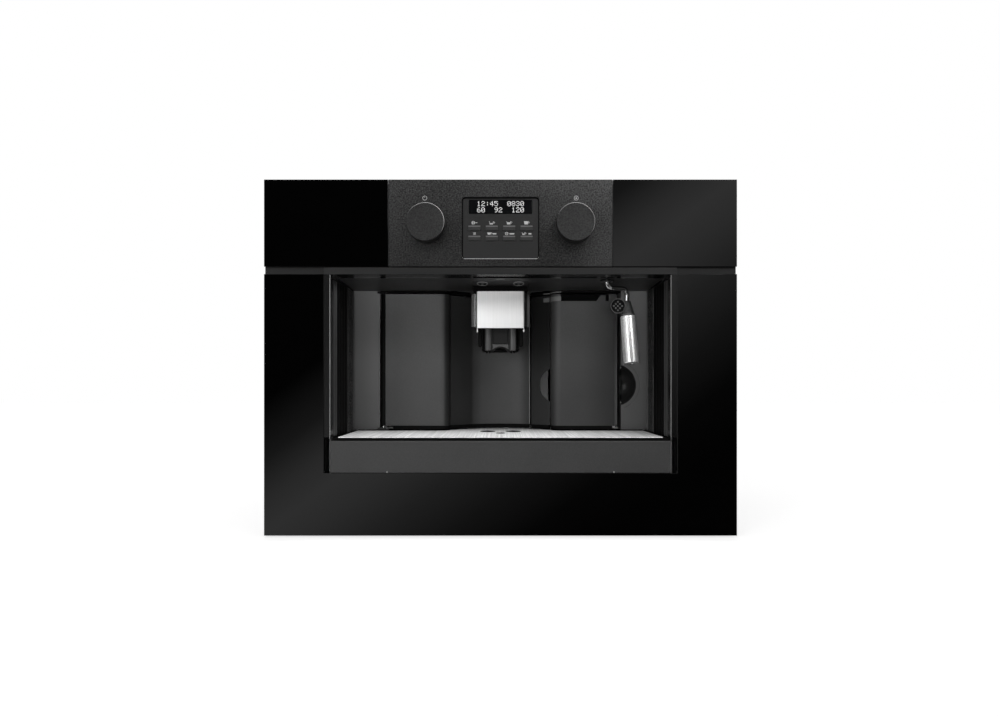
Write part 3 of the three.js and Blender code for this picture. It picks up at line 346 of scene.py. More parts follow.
# %% [markdown]
# ## Steel, zinc, brass and clear plastic
#
# Brushed steel keeps the scratches of the belt that it passed under. They are very long and very
# narrow, so the noise is stretched along the brushing. Polished steel is drawn tube, with only a
# trace of that. The housing is zinc-coated sheet, whose crystals show as angular patches. The water
# tank is moulded in dark, smoky plastic.

# %% Metal and clear finishes
def brushed(name, level, metallic, roughness, lines, unevenness):
    """Steel with scratches; lines holds the noise's size along each axis in millimetres."""
    finish = Finish(name, grey(level), metallic, roughness)
    scratches = finish.noise(lines, detail=3.0)
    share = finish.spread(scratches, 0.3, 0.7)
    dark, light = grey(level * (1 - unevenness)), grey(min(level * (1 + unevenness), 1.0))
    finish.mottled(share, dark, light, roughness * 0.85, roughness * 1.15, 0, 1)
    finish.bumps(scratches, 0.01)
    return finish


face_half = 32.0
spout_steel = brushed("spout_steel", 0.84, 0.6, 0.38, (0.5, 1.5, 60), 0.05)
# Painted shade: the cover's wings, which lean back, have their colour painted darker than the face's.
from_middle = spout_steel.maths("ABSOLUTE", spout_steel.along("X"))
wing = spout_steel.spread(from_middle, (face_half + 0.1) * mm, (face_half + 0.5) * mm)
spout_steel.set("Metallic", spout_steel.spread(wing, 0, 1, 0.6, 1.0))
spout_steel.set("Roughness", spout_steel.spread(wing, 0, 1, 0.38, 0.25))
spout_steel.set("Base Color", spout_steel.blend(wing, spout_steel.colour(), grey(0.2)))
# Painted light: the cover is painted lighter towards the left and towards the top.
spout_steel.faded("X", -30, 30, 1.1, 0.88)
spout_steel.faded("Z", 268, 318, 0.84, 1.1)
plate_steel = brushed("plate_steel", 0.78, 0.3, 0.4, (1.2, 120, 2), 0.28)
# Painted shade: the cup plate is painted darker towards the back of the alcove.
plate_steel.faded("Y", glass_y / mm, glass_y / mm + 125, 1.06, 0.66)
polished_steel = brushed("polished_steel", 0.75, 1.0, 0.12, (0.5, 0.5, 30), 0.05)
rail_steel = brushed("rail_steel", 0.5, 1.0, 0.32, (60, 0.3, 0.3), 0.12)
edge_steel = brushed("edge_steel", 0.5, 0.6, 0.3, (0.4, 0.4, 30), 0.08)
sleeve_streaks = (0.8, 0.8, 600)
sleeve_steel = brushed("sleeve_steel", 0.97, 0.8, 0.18, sleeve_streaks, 0.1)
sleeve_steel.bumps(sleeve_steel.noise(sleeve_streaks), 0.002)

zinc_sheet = Finish("zinc_sheet", grey(0.36), 0.75, 0.42)
crystal_inputs = {"Vector": zinc_sheet.place, "Scale": 1 / (5 * mm), "Randomness": 1.0}
crystals = zinc_sheet.add("ShaderNodeTexVoronoi", crystal_inputs).outputs["Color"]
patch = zinc_sheet.add("ShaderNodeSeparateColor", {"Color": crystals}).outputs["Red"]
zinc_sheet.mottled(patch, grey(0.34), grey(0.4), 0.38, 0.48, 0, 1)
zinc_sheet.bumps(zinc_sheet.noise(1.5), 0.01)

brass = Finish("brass", (0.6, 0.43, 0.17), 1.0, 0.28)
brass.mottled(brass.noise((0.4, 0.4, 4)), (0.5, 0.34, 0.12), (0.68, 0.5, 0.22), 0.2, 0.36)

clear_plastic = Finish("clear_plastic", grey(0.05), 0.0, 0.08, IOR=1.46, Transmission_Weight=0.6)
clear_plastic.mottled(clear_plastic.noise(18), grey(0.035), grey(0.06), 0.05, 0.12)
print("metals and clear plastic ready")

# %% [markdown]
# ## The display, the circuit board, the lamps and the ink
#
# The display is smoked glass over a dark panel, and its figures are lit, so they glow a little. Ink and light
# are also uneven at a small scale: printed icons and lit dots have a faint grain. The board gets its traces
# from a stretched brick pattern.

# %% Small finishes
smoked_glass = Finish("smoked_glass", (0.005, 0.0055, 0.0065), 0.0, 0.06, IOR=1.5)
smoked_glass.mottled(smoked_glass.noise(12), grey(0.004), (0.0065, 0.007, 0.0085), 0.04, 0.08)

circuit_board = Finish("circuit_board", (0.012, 0.07, 0.03), 0.0, 0.4)
brick_inputs = {"Vector": circuit_board.place, "Scale": 90.0, "Mortar Size": 0.03,
                "Color1": (0.01, 0.06, 0.025, 1), "Color2": (0.014, 0.085, 0.035, 1),
                "Mortar": (0.05, 0.2, 0.07, 1)}
traces = circuit_board.add("ShaderNodeTexBrick", brick_inputs)
circuit_board.set("Base Color", traces.outputs["Color"])
circuit_board.bumps(traces.outputs["Fac"], 0.03)


def lit(name, colour, glow, unevenness):
    """A pale finish that also gives off some light of its own."""
    finish = Finish(name, colour, 0.0, 0.5)
    grain = finish.spread(finish.noise(0.6), 0.3, 0.7)
    dark = tuple(c * (1 - unevenness) for c in colour)
    shade = finish.blend(grain, dark, colour)
    finish.set("Base Color", shade)
    finish.set("Emission Color", shade)
    finish.set("Emission Strength", glow)
    return finish


white_ink = lit("white_ink", grey(0.5), 0.0, 0.12)
lit_dots = lit("lit_dots", grey(0.75), 0.35, 0.1)
lamp_lens = lit("lamp_lens", grey(0.03), 0.0, 0.2)
print("small finishes ready")

# %% [markdown]
# ## Tools of the bench
#
# Most parts here are cut from sheet, turned, or bent from tube, so the script has one function for
# each. A flat part is a closed outline, filled and thickened by a curve, which rounds its edges in
# the same step. A turned part is half a profile spun about its axis. A bent part is a path with
# rounded corners. Each gives a mesh in millimetres.

# %% Outlines with rounded corners
def rounded(points, radius, steps=6, closed=True):
    """Put an arc on each corner; radius is a number, or one number for each point."""
    places = [Vector(point) for point in points]
    radii = radius if isinstance(radius, (list, tuple)) else [radius] * len(places)
    path = []
    for index, (corner, wanted) in enumerate(zip(places, radii)):
        if wanted <= 0 or (not closed and index in (0, len(places) - 1)):
            path.append(corner)
            continue
        before = places[index - 1] - corner
        after = places[(index + 1) % len(places)] - corner
        half = before.angle(after) / 2
        reach = min(wanted / tan(half), before.length * 0.499, after.length * 0.499)
        arc = reach * tan(half)
        centre = corner + (before.normalized() + after.normalized()).normalized() * arc / sin(half)
        start = corner + before.normalized() * reach - centre
        end = corner + after.normalized() * reach - centre
        turn = start.angle(end)
        for step in range(steps + 1):
            share = step / steps
            path.append(centre + (start * sin((1 - share) * turn) + end * sin(share * turn)) / sin(turn))
    return path


def arc(centre_x, centre_y, radius, start, end, steps):
    """Points on an arc; the angles are in degrees, counted from the first axis."""
    angles = [radians(start + (end - start) * k / steps) for k in range(steps + 1)]
    return [Vector((centre_x + radius * cos(a), centre_y + radius * sin(a))) for a in angles]


def circle(x, y, radius, steps=48):
    """A round outline."""
    return arc(x, y, radius, 0, 360, steps)[:-1]


def arched(x, y, outer, inner, start, end, steps):
    """The outline of a part of a ring."""
    return arc(x, y, outer, start, end, steps) + arc(x, y, inner, end, start, steps)


def box_outline(x_low, y_low, x_high, y_high, radius=0.0, steps=6):
    """A rectangle with rounded corners."""
    corners = [(x_low, y_low), (x_high, y_low), (x_high, y_high), (x_low, y_high)]
    return rounded(corners, radius, steps)


print("a rounded square of 10 mm has", len(box_outline(0, 0, 10, 10, 2)), "points")


# %% Flat, turned and bent parts
upright = Matrix.Rotation(radians(90), 4, "X")
sideways = Matrix(((0, 0, 1, 0), (1, 0, 0, 0), (0, 1, 0, 0), (0, 0, 0, 1)))


def as_mesh(form, weld=0.0):
    """Weld a form's seams if a width is given, and turn it into a mesh."""
    if weld:
        bmesh.ops.remove_doubles(form, verts=form.verts, dist=weld)
        bmesh.ops.recalc_face_normals(form, faces=form.faces)
    mesh = bpy.data.meshes.new("part")
    form.to_mesh(mesh)
    form.free()
    return mesh


def drawn(lines, closed, dimensions, **settings):
    """The mesh that a curve through some lines of points gives."""
    curve = bpy.data.curves.new("line", "CURVE")
    curve.dimensions = dimensions
    for key, value in settings.items():
        setattr(curve, key, value)
    for line in lines:
        spline = curve.splines.new("POLY")
        spline.points.add(len(line) - 1)
        spline.use_cyclic_u = closed
        for point, place in zip(spline.points, line):
            point.co = (*place, *(0,) * (3 - len(place)), 1)
    carrier = bpy.data.objects.new("carrier", curve)
    form = bmesh.new()
    form.from_mesh(bpy.data.meshes.new_from_object(carrier))
    bpy.data.objects.remove(carrier)
    return as_mesh(form, weld=0.002)


def flat(loops, low, high, edge=0.4, axis="z", steps=2):
    """A sheet from low to high along an axis; the first loop is its outline, others are holes.

    Along z the loops are plans (x, depth), along y elevations (x, z), along x sides (depth, z).
    """
    edge = min(edge, (high - low) * 0.49)
    mesh = drawn(loops, True, "2D", fill_mode="BOTH", extrude=(high - low) / 2 - edge,
                 bevel_depth=edge, bevel_resolution=steps, offset=-edge)
    stand = {"x": sideways, "y": upright, "z": Matrix()}[axis]
    middle = (low + high) / 2
    return moved(mesh, [middle if letter == axis else 0 for letter in "xyz"], stand)


def slab(x_low, y_low, x_high, y_high, low, high, radius, edge, axis="z", steps=6):
    """A flat part whose outline is a rectangle with rounded corners."""
    return flat([box_outline(x_low, y_low, x_high, y_high, radius, steps)], low, high, edge, axis)


def turned(profile, steps=64):
    """Spin a profile of (radius, height) points about the z axis."""
    form = bmesh.new()
    verts = [form.verts.new((radius, 0, height)) for radius, height in profile]
    edges = [form.edges.new(pair) for pair in zip(verts, verts[1:])]
    bmesh.ops.spin(form, geom=verts + edges, cent=(0, 0, 0), axis=(0, 0, 1),
                   angle=2 * pi, steps=steps, use_merge=True)
    return as_mesh(form, weld=0.0005)


def bent(path, radius, steps=6):
    """A round bar along a path."""
    return drawn([path], False, "3D", bevel_depth=radius, bevel_resolution=steps, use_fill_caps=True)


def joined(*meshes):
    """Several meshes as one."""
    form = bmesh.new()
    for mesh in meshes:
        form.from_mesh(mesh)
    return as_mesh(form)


def moved(mesh, place, *turns):
    """The mesh, turned and then carried to a place."""
    carry = Matrix.Translation(place)
    for turn in turns:
        carry = carry @ turn
    mesh.transform(carry)
    return mesh


print("bench tools ready")

# %% [markdown]
# ## Cutting, and putting a piece on the machine
#
# A notch or a hole that a flat outline can't hold is cut with a Boolean modifier, and its new edges
# are broken with a Bevel, as a file would. Each finished piece is then carried into the frame, gets
# its finish, and rides on the body of the frame that it is fixed to. Where it stands for a solid of
# the frame, that solid is hidden.

# %% Cutting and fitting
def worked(mesh, *steps):
    """Run modifiers on a mesh; each step is a kind and its settings."""
    bench = bpy.data.objects.new("bench", mesh)
    bpy.context.scene.collection.objects.link(bench)
    for kind, settings in steps:
        modifier = bench.modifiers.new(kind.lower(), kind)
        for key, value in settings.items():
            setattr(modifier, key, value)
    graph = bpy.context.evaluated_depsgraph_get()
    result = bpy.data.meshes.new_from_object(bench.evaluated_get(graph), depsgraph=graph)
    bpy.data.objects.remove(bench)
    return result


def cut(mesh, *tools, edge=0.0):
    """Take the tools' shapes out of a mesh, and break the edges if a width is given."""
    cutters = [bpy.data.objects.new("cutter", tool) for tool in tools]
    for cutter in cutters:
        bpy.context.scene.collection.objects.link(cutter)
    steps = [("BOOLEAN", {"operation": "DIFFERENCE", "solver": "EXACT", "object": cutter})
             for cutter in cutters]
    if edge:
        steps.append(("BEVEL", {"width": edge, "segments": 2, "limit_method": "ANGLE",
                                "angle_limit": radians(35)}))
    result = worked(mesh, *steps)
    for cutter in cutters:
        bpy.data.objects.remove(cutter)
    return result


made = []


def fit(name, mesh, finish, body="machine", stands_for=None, crease=32):
    """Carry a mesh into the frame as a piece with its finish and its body."""
    mesh.transform(to_frame)
    mesh.materials.clear()
    mesh.materials.append(finish.material)
    for face in mesh.polygons:
        face.material_index = 0
    mesh.shade_smooth()
    mesh.set_sharp_from_angle(angle=radians(crease))
    thing = bpy.data.objects.new(name, mesh)
    bpy.context.scene.collection.objects.link(thing)
    thing.modifiers.new("even_normals", "WEIGHTED_NORMAL").keep_sharp = True
    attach(thing, body)
    if stands_for:
        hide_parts(stands_for)
    made.append(name)


print("ready to fit pieces")

# %% [markdown]
# ## The knobs
#
# Each knob is turned from bar: a cylinder with a shallow groove near its foot and a bright chamfer round its
# face, where the satin grain is cut away. The face itself is very slightly dished, as a facing cut leaves it.
# A turned profile gives all of that, and the chamfer is a ring of its own so that it can have a brighter
# finish. That chamfer also carries a painted highlight towards the upper right and painted shade towards the
# lower left.

# %% Turn the knobs
chamfer = 0.45
to_front = Matrix.Scale(-1, 4, (0, 0, 1))
for side, _ in both_sides:
    knob = "knob_" + side
    (low, high), middle = measured(knob), middle_of(knob)
    radius, foot, face = (high.x - low.x) / 2, high.y, low.y
    edge, neck, inner = radius - chamfer, radius - 0.7, radius - chamfer - 0.12
    body_profile = [(0, face + 0.25), (radius * 0.5, face + 0.2), (edge, face + 0.02), (edge, face + 0.6),
                    (radius - 0.15, face + 1.2), (radius, face + 1.6), (radius, foot - 3.2),
                    (neck, foot - 2.9), (neck, foot - 2.3), (radius, foot - 2.0), (radius, foot - 0.4),
                    (radius - 0.4, foot), (0, foot)]
    ring_profile = [(inner, face + 0.5), (inner, face), (edge, face), (radius, face + chamfer),
                    (radius, face + 1.5), (edge, face + 1.5), (inner, face + 0.5)]
    for part, profile, finish, stands_for in (("_turned", body_profile, knob_metal, knob),
                                              ("_chamfer", ring_profile, chamfer_metal, None)):
        mesh = moved(turned(profile, 128), (middle.x, 0, middle.z), upright, to_front)
        mesh.flip_normals()
        fit(knob + part, mesh, finish, knob, stands_for)
    print(knob, round(2 * radius, 1), "mm across")

# %% [markdown]
# ## The buttons
#
# Eight narrow keys sit in two rows under the display. Each is a small moulding whose upper third leans back,
# which catches the light from above and makes the key easy to feel; that slope is also painted lighter, as a
# painted highlight. A side profile with that slope, thickened across, is all that it needs.

# %% Mould the buttons
button_boxes = {name: measured(name) for name in nodes if name.startswith("button_")}
for name, (low, high) in sorted(button_boxes.items()):
    slope_foot = low.z + (high.z - low.z) * 0.7
    profile = rounded([(high.y, low.z), (high.y, high.z), (low.y + 1.3, high.z),
                       (low.y, slope_foot), (low.y, low.z)], [0, 0, 0.25, 0.3, 0.3], 3)
    mesh = flat([profile], low.x + 0.6, high.x - 0.6, 0.3, "x")
    fit(name + "_key", mesh, button_metal, "key_" + name.removeprefix("button_"), name)
print(len(button_boxes), "buttons moulded")

# %% [markdown]
# ## Icons and figures
#
# The keys' icons are plain pictures of a cup at rising levels, a bean, steam and a tap, and each knob
# has a simple sign above it. They are printed, so each is a very thin flat part just proud of the
# face that it is printed on. The display shows figures made of square dots, seven rows high, as such
# displays do.

# %% Print the icons
ink_height = 0.06
plate_face = measured("keypad_plate")[0].y
fascia_face = measured("control_fascia")[0].y


def printed(name, loops_list, face):
    """Print flat shapes on a face; each entry is an outline and its holes."""
    marks = [flat(loops, face - ink_height, face + 0.02, 0.01, "y", 0) for loops in loops_list]
    fit(name, joined(*marks), white_ink, "machine")


def ring(x, z, outer, inner):
    """A circle with a round hole."""
    return [circle(x, z, outer, 32), circle(x, z, inner, 32)]


def bar(x, z, width, height):
    """A small upright or level bar about a centre."""
    return [box_outline(x - width / 2, z - height / 2, x + width / 2, z + height / 2)]


def cup(x, z, width, height, fill):
    """A cup seen from the side: its wall, its handle, and how far it is filled."""
    wall, tall = 0.45, height / 2
    rim, sole, floor = width / 2, width / 2 * 0.7, z - tall + wall
    outline = [(x - rim, z + tall), (x - sole, z - tall), (x + sole, z - tall), (x + rim, z + tall),
               (x + rim - wall, z + tall), (x + sole - wall, floor), (x - sole + wall, floor),
               (x - rim + wall, z + tall)]
    level = floor + fill * (height - wall)
    low_half, high_half = width * 0.31, width * 0.375
    coffee = [(x - low_half, floor), (x + low_half, floor), (x + high_half, level), (x - high_half, level)]
    return [[outline], ring(x + rim + 0.5, z + 0.3, 1.1, 0.65), [coffee]]


def bean(x, z, size):
    """Two halves of a coffee bean with the furrow between them."""
    lean = [radians(-80 + 160 * k / 10) for k in range(11)]
    return [[[(x + side * (0.25 + size * 0.38 * cos(t)), z + size * 0.55 * sin(t)) for t in lean]]
            for side in (-1, 1)]


columns = sorted({round((low.x + high.x) / 2, 2) for low, high in button_boxes.values()})
rows = sorted({round(high.z, 2) for low, high in button_boxes.values()}, reverse=True)
upper, lower = rows[0] + 3.4, rows[1] + 2.6
first, second, third, fourth = columns
icons = bean(first - 1.6, upper, 4.4) + [bar(first + 2.4, upper, 2.6, 0.8)]
for x, fill in ((second, 0.35), (third, 0.6), (fourth, 0.95)):
    icons += cup(x - 0.6, upper, 5.6, 4.2, fill)
icons += [bar(first, lower + step, 3.2, 0.5) for step in (-1.1, 0, 1.1)]
icons += cup(second - 3.4, lower, 4.6, 2.8, 0.9) + [bar(second + 3.4, lower - 0.3, 4.6, 1.5)]
icons += [ring(third - 3.2, lower, 2.0, 1.4), bar(third - 3.2, lower, 1.6, 0.5)]
icons += [bar(third + 3.4, lower - 0.3, 6.0, 1.5)]
icons += cup(fourth - 4.0, lower, 4.0, 3.4, 0.4) + [bar(fourth + 4.2, lower - 0.3, 3.6, 1.5)]
printed("key_icons", icons, plate_face)
print(len(icons), "icon shapes on the key plate")

# %% Set the window's dark shadow strip and its bright highlight strip
window_low, window_high = measured("keypad_plate")
left, right, foot, head = window_low.x, window_high.x, window_low.z, window_high.z
window_face = window_low.y
# Painted shadow: a black strip round the window stands for the shade at the edge of its recess. Painted
# highlight: a bright steel strip along its foot stands for the light on its lower edge.
shadow_strip_width, shadow_strip_lap = 0.9, 0.25
window = box_outline(left - shadow_strip_lap, foot - shadow_strip_lap, right + shadow_strip_lap, head + shadow_strip_lap, 4)
opening = box_outline(left + shadow_strip_width, foot + shadow_strip_width, right - shadow_strip_width, head - shadow_strip_width, 3)
fit("window_shadow_strip", flat([window, opening], window_face - 1.2, window_face + 0.1, 0.2, "y"), seal_rubber)
highlight_strip_head = foot + 2.2
highlight_strip = rounded([(left + 0.2, highlight_strip_head), (left + 0.2, foot - 0.3), (right - 0.2, foot - 0.3),
                (right - 0.2, highlight_strip_head), (right - 0.8, highlight_strip_head), (right - 0.8, foot + 0.6),
                (left + 0.8, foot + 0.6), (left + 0.8, highlight_strip_head)],
               [0, 2.4, 2.4, 0, 0, 1.8, 1.8, 0], 6)
fit("window_highlight_strip", flat([highlight_strip], window_face - 1.9, window_face - 1.0, 0.2, "y"),
    edge_steel, "machine")
print("window", round(right - left, 1), "by", round(head - foot, 1), "mm")

# %% Print the knob signs
sign_rise, sign_shift = 11.0, 2.6
sign_outer, sign_inner, sign_gap = 2.9, 2.35, 32
sign_z = measured("knob_left")[1].z + sign_rise
power_x = middle_of("knob_left").x - sign_shift
power_ring = arched(power_x, sign_z, sign_outer, sign_inner, 90 + sign_gap, 450 - sign_gap, 28)
printed("power_sign", [[power_ring], bar(power_x, sign_z + 2.0, 0.55, 2.8)], fascia_face)
dial_x = middle_of("knob_right").x + sign_shift
dial_sign = [ring(dial_x, sign_z, sign_outer, sign_inner), [circle(dial_x, sign_z, 0.9, 24)]]
printed("select_sign", dial_sign, fascia_face)
print("signs at", round(power_x, 1), "and", round(dial_x, 1))

# %% Light the display's figures
figure_rows = {
    "0": "01110 10001 10011 10101 11001 10001 01110", "1": "00100 01100 00100 00100 00100 00100 01110",
    "2": "01110 10001 00001 00110 01000 10000 11111", "3": "01110 10001 00001 00110 00001 10001 01110",
    "4": "00010 00110 01010 10010 11111 00010 00010", "5": "11111 10000 11110 00001 00001 10001 01110",
    "6": "00110 01000 10000 11110 10001 10001 01110", "8": "01110 10001 10001 01110 10001 10001 01110",
    "9": "01110 10001 10001 01111 00001 00010 01100", ":": "00000 00100 00100 00000 00100 00100 00000",
    " ": "00000 00000 00000 00000 00000 00000 00000",
}
display_low, display_high = measured("display_glass")
dot_pitch = (display_high.z - display_low.z) / 19
dot = dot_pitch * 0.86


def figures(text, top):
    """Square dots for one line of figures, centred on the display."""
    start = (display_low.x + display_high.x) / 2 - (len(text) * 6 - 1) * dot_pitch / 2
    return [(start + (place * 6 + column) * dot_pitch, top - (row + 1) * dot_pitch)
            for place, sign in enumerate(text)
            for row, line in enumerate(figure_rows[sign].split())
            for column, on in enumerate(line) if on == "1"]


around = ((0, 0), (1, 0), (1, 1), (0, 1))


def dot_field(places, size, face, height):
    """One mesh of small raised squares, each with sloping sides."""
    form = bmesh.new()
    crowned = [(0.1 + 0.8 * u, 0.1 + 0.8 * w) for u, w in around]
    for x, z in places:
        rim = [form.verts.new((x + u * size, face, z + w * size)) for u, w in around]
        crown = [form.verts.new((x + u * size, face - height, z + w * size)) for u, w in crowned]
        form.faces.new(crown)
        form.faces.new(rim[::-1])
        for k in range(4):
            form.faces.new((rim[k], rim[(k + 1) % 4], crown[(k + 1) % 4], crown[k]))
    bmesh.ops.recalc_face_normals(form, faces=form.faces)
    return as_mesh(form)


first_line = figures("12:45  0830", display_high.z - 1.6 * dot_pitch)
second_line = figures("60  92  120", display_high.z - 10.2 * dot_pitch)
dots_mesh = dot_field(first_line + second_line, dot, display_low.y, ink_height)
fit("display_figures", dots_mesh, lit_dots, "machine")
print(len(first_line) + len(second_line), "dots lit")

# %% [markdown]
# ## The service door
#
# The alcove's back is one tall moulding that curves: a flat wing on the left, a tight corner, a
# straight flank, and a wide hollow behind the spout. It opens on a hinge at its left edge. Where the
# corner meets the flank a fine groove runs from top to bottom. The shape is the same at every height,
# so its plan says everything, and the plan is worked out from a few places on the solids.

# %% Plan of the door
door_low, door_high = measured("service_door")
tank_low, tank_high = measured("tank_front")
wing_depth = tank_low.y
corner_radius = 15.0
corner_x = tank_low.x + corner_radius
hollow_y, hollow_radius = 90.0, 81.0
door_right = door_high.x
door_sheet = 6.0
hinge = middle_of("hinge_pin")
door_left = hinge.x + 3.0
tray_top = measured("drip_tray")[1].z


def back_line(inset, left, right):
    """The alcove's back in plan, inset millimetres behind its front face, from left to right."""
    line = [Vector((left, wing_depth + inset))]
    line += arc(-corner_x, wing_depth + corner_radius, corner_radius - inset, -90, 0, 10)
    hollow_from = 180 - degrees(acos(door_right / hollow_radius))
    hollow_to = degrees(acos(right / (hollow_radius + inset)))
    return line + arc(0, hollow_y, hollow_radius + inset, hollow_from, hollow_to, 24)


def stretch(line, x_from, x_to):
    """The part of a line between two places across."""
    ends = []
    for x in (x_from, x_to):
        start, end = next((a, b) for a, b in zip(line, line[1:]) if a.x <= x <= b.x)
        ends.append(start.lerp(end, (x - start.x) / (end.x - start.x)))
    return [ends[0]] + [p for p in line if x_from < p.x < x_to] + [ends[1]]


def flipped(line):
    """The same line on the machine's other half."""
    return [Vector((-p.x, p.y)) for p in line]


def mirrored(line):
    """The same, so that it runs from left to right again."""
    return flipped(line)[::-1]


def ribbon(path, thickness):
    """The outline of a bent sheet from the path of its middle."""
    sides = ([], [])
    for index, place in enumerate(path):
        before = path[max(index - 1, 0)]
        after = path[min(index + 1, len(path) - 1)]
        ahead = (after - before).normalized()
        across = Vector((-ahead.y, ahead.x)) * thickness / 2
        sides[0].append(place + across)
        sides[1].append(place - across)
    return sides[0] + sides[1][::-1]


front_line = back_line(0, door_left, door_right)
rear_line = back_line(door_sheet, door_left, door_right)
groove = 0.55
seam_index = 11
seam = front_line[seam_index]
groove_line = [seam + Vector((0, -groove)), seam + Vector((-groove, 0.1)), seam + Vector((0, groove))]
door_plan = front_line[:seam_index] + groove_line + front_line[seam_index + 1:] + rear_line[::-1]
print("door", round(door_right - door_left, 1), "mm wide,", len(door_plan), "points in plan")

# %% Mould the door
fit("door_panel", flat([door_plan], door_low.z, door_high.z, 0.5), door_satin,
    "door", "service_door")

barrel_radius, knuckle_gap, knuckles = 3.4, 0.5, 5
rounding = 0.5
barrel_profile = [(0, 0)]
knuckle = (door_high.z - door_low.z) / knuckles
for k in range(knuckles):
    foot, head = k * knuckle + (knuckle_gap if k else 0), (k + 1) * knuckle
    barrel_profile += [(barrel_radius - rounding, foot), (barrel_radius, foot + rounding),
                       (barrel_radius, head - rounding), (barrel_radius - rounding, head)]
barrel_profile.append((0, knuckles * knuckle))
barrel = moved(turned(barrel_profile, 32), (hinge.x, hinge.y, door_low.z))
fit("door_hinge_barrel", barrel, seal_rubber, "door")

# Painted highlight: a light grey strip along the door's right edge stands for the light on that edge.
door_highlight_width = 0.7
edge_x, edge_y = front_line[-1]
door_highlight_plan = [(edge_x - door_highlight_width, edge_y + 0.05), (edge_x, edge_y - 0.2),
              (edge_x - 0.05, edge_y + 3.3), (edge_x - door_highlight_width, edge_y + 3.3)]
fit("door_edge_highlight", flat([door_highlight_plan], door_low.z + 0.5, door_high.z - 0.5, 0.15),
    tab_grey, "door")
lip_foot, lip_head, lip_sheet = measured("cup_plate")[1].z + 0.9, door_low.z + 0.3, 2.0


def lip(name, line, body):
    """A dark lip that closes the gap between the cup plate and a panel."""
    fit(name, flat([ribbon(line, lip_sheet)], lip_foot, lip_head, 0.3), seal_rubber, body)


lip("door_lip", back_line(lip_sheet, hinge.x + 14.0, door_right - 0.5), "door")
print("hinge barrel with", knuckles, "knuckles, and a lip of", round(door_low.z - lip_foot, 1), "mm")

# %% [markdown]
# ## The lintel and the fluted cheeks
#
# A narrow black lintel closes the wall over the door and the tank, and follows the same curve. The
# cheeks of the alcove aren't plain either: between their front and back edges each has a band of
# upright flutes, which shows as a row of dark and light lines. Both are parts of one plan, thickened
# upwards.

# %% Mould the lintel and the cheeks
lintel_foot, lintel_head = door_high.z + 1.7, alcove_high.z - 8.9
lintel_sheet, lintel_end = 4.0, 46.0
column_x = -measured("alcove_liner")[0].x - 43.5
wall_line = back_line(0.4, -column_x, door_right)
left_wall = stretch(wall_line, -column_x + 0.5, -lintel_end)
for side, wall_front in (("left", left_wall), ("right", mirrored(left_wall))):
    behind = [Vector((p.x, p.y + lintel_sheet)) for p in wall_front]
    fit("lintel_" + side, flat([wall_front + behind[::-1]], lintel_foot, lintel_head), seal_rubber)

cheek_front, cheek_draft = alcove_high.x - 7.0, 3.0 / 103.7
liner_front = alcove_low.y + 16.3


def cheek_x(depth):
    """How far the alcove's side wall stands from the middle at a depth."""
    return cheek_front - cheek_draft * (depth - liner_front)


def fluted(depth_from, depth_to, flutes, rise, power):
    """The plan of a strip of upright flutes on the right cheek."""
    steps = flutes * 12
    wave = []
    for k in range(steps + 1):
        depth = depth_from + (depth_to - depth_from) * k / steps
        wave.append(Vector((cheek_x(depth) - 0.1 - rise * abs(sin(pi * k / 12)) ** power, depth)))
    front, back = (Vector((cheek_x(depth) + 0.4, depth)) for depth in (depth_from, depth_to))
    return [front] + wave + [back]


board_front, board_back = liner_front + 0.7, column_face - 0.8
board_drop = 3.7
board_foot, board_head = ceiling_z - 0.1, ceiling_z + 0.3
board_side = [(board_front, board_head), (board_front, board_foot),
              (board_back, board_foot - board_drop), (board_back, board_head)]
board_half = cheek_x(board_back) - 0.2
fit("ceiling_board", flat([board_side], -board_half, board_half, 0.2, "x"), ceiling_satin)
# Painted shade: a black strip under the trim's lip darkens its underside.
shade_strip_half = cheek_front + 0.3
fit("lip_shade_strip", slab(-shade_strip_half, 0.3, shade_strip_half, liner_front - 0.4,
                     ceiling_z - 0.4, ceiling_z + 0.2, 0.3, 0.15), seal_rubber)

# Painted light and shade on each cheek: the lighter band at the front is a painted sheen, the black band
# behind it painted shade, and the bright strip at the back edge a painted highlight; the flutes between them
# are shaped.
bands = (("cheek_shine", 16.8, 34.0, 2, 0.4, 1.0, tray_plastic),
         ("cheek_dark_band", 35.5, 84.0, 4, 0.5, 1.0, seal_rubber),
         ("cheek_flutes", 86.0, 112.0, 5, 1.3, 0.6, rib_gloss),
         ("cheek_edge_highlight", 114.0, 117.5, 1, 1.3, 0.6, nozzle_satin))
for name, depth_from, depth_to, flutes, rise, power, finish in bands:
    plan = fluted(depth_from, depth_to, flutes, rise, power)
    for side, outline in (("right", plan), ("left", mirrored(plan))):
        fit(name + "_" + side, flat([outline], tray_top + 0.8, lintel_head - 4.0, 0.01, "z", 0),
            finish, "machine", crease=50)
print("lintel", round(lintel_head - lintel_foot, 1), "mm high,", len(bands), "bands on each cheek")

# %% [markdown]
# ## The tank's front panel
#
# The panel goes round the same corner as the door, mirrored, and ends flat on the right. Its top has
# a long notch, through which a hand reaches to lift the tank out, and in the notch stands a short
# tooth with one sloping side. The corner is a plan and the notch an elevation, so the panel is made
# from its plan and the notch is cut out of it.

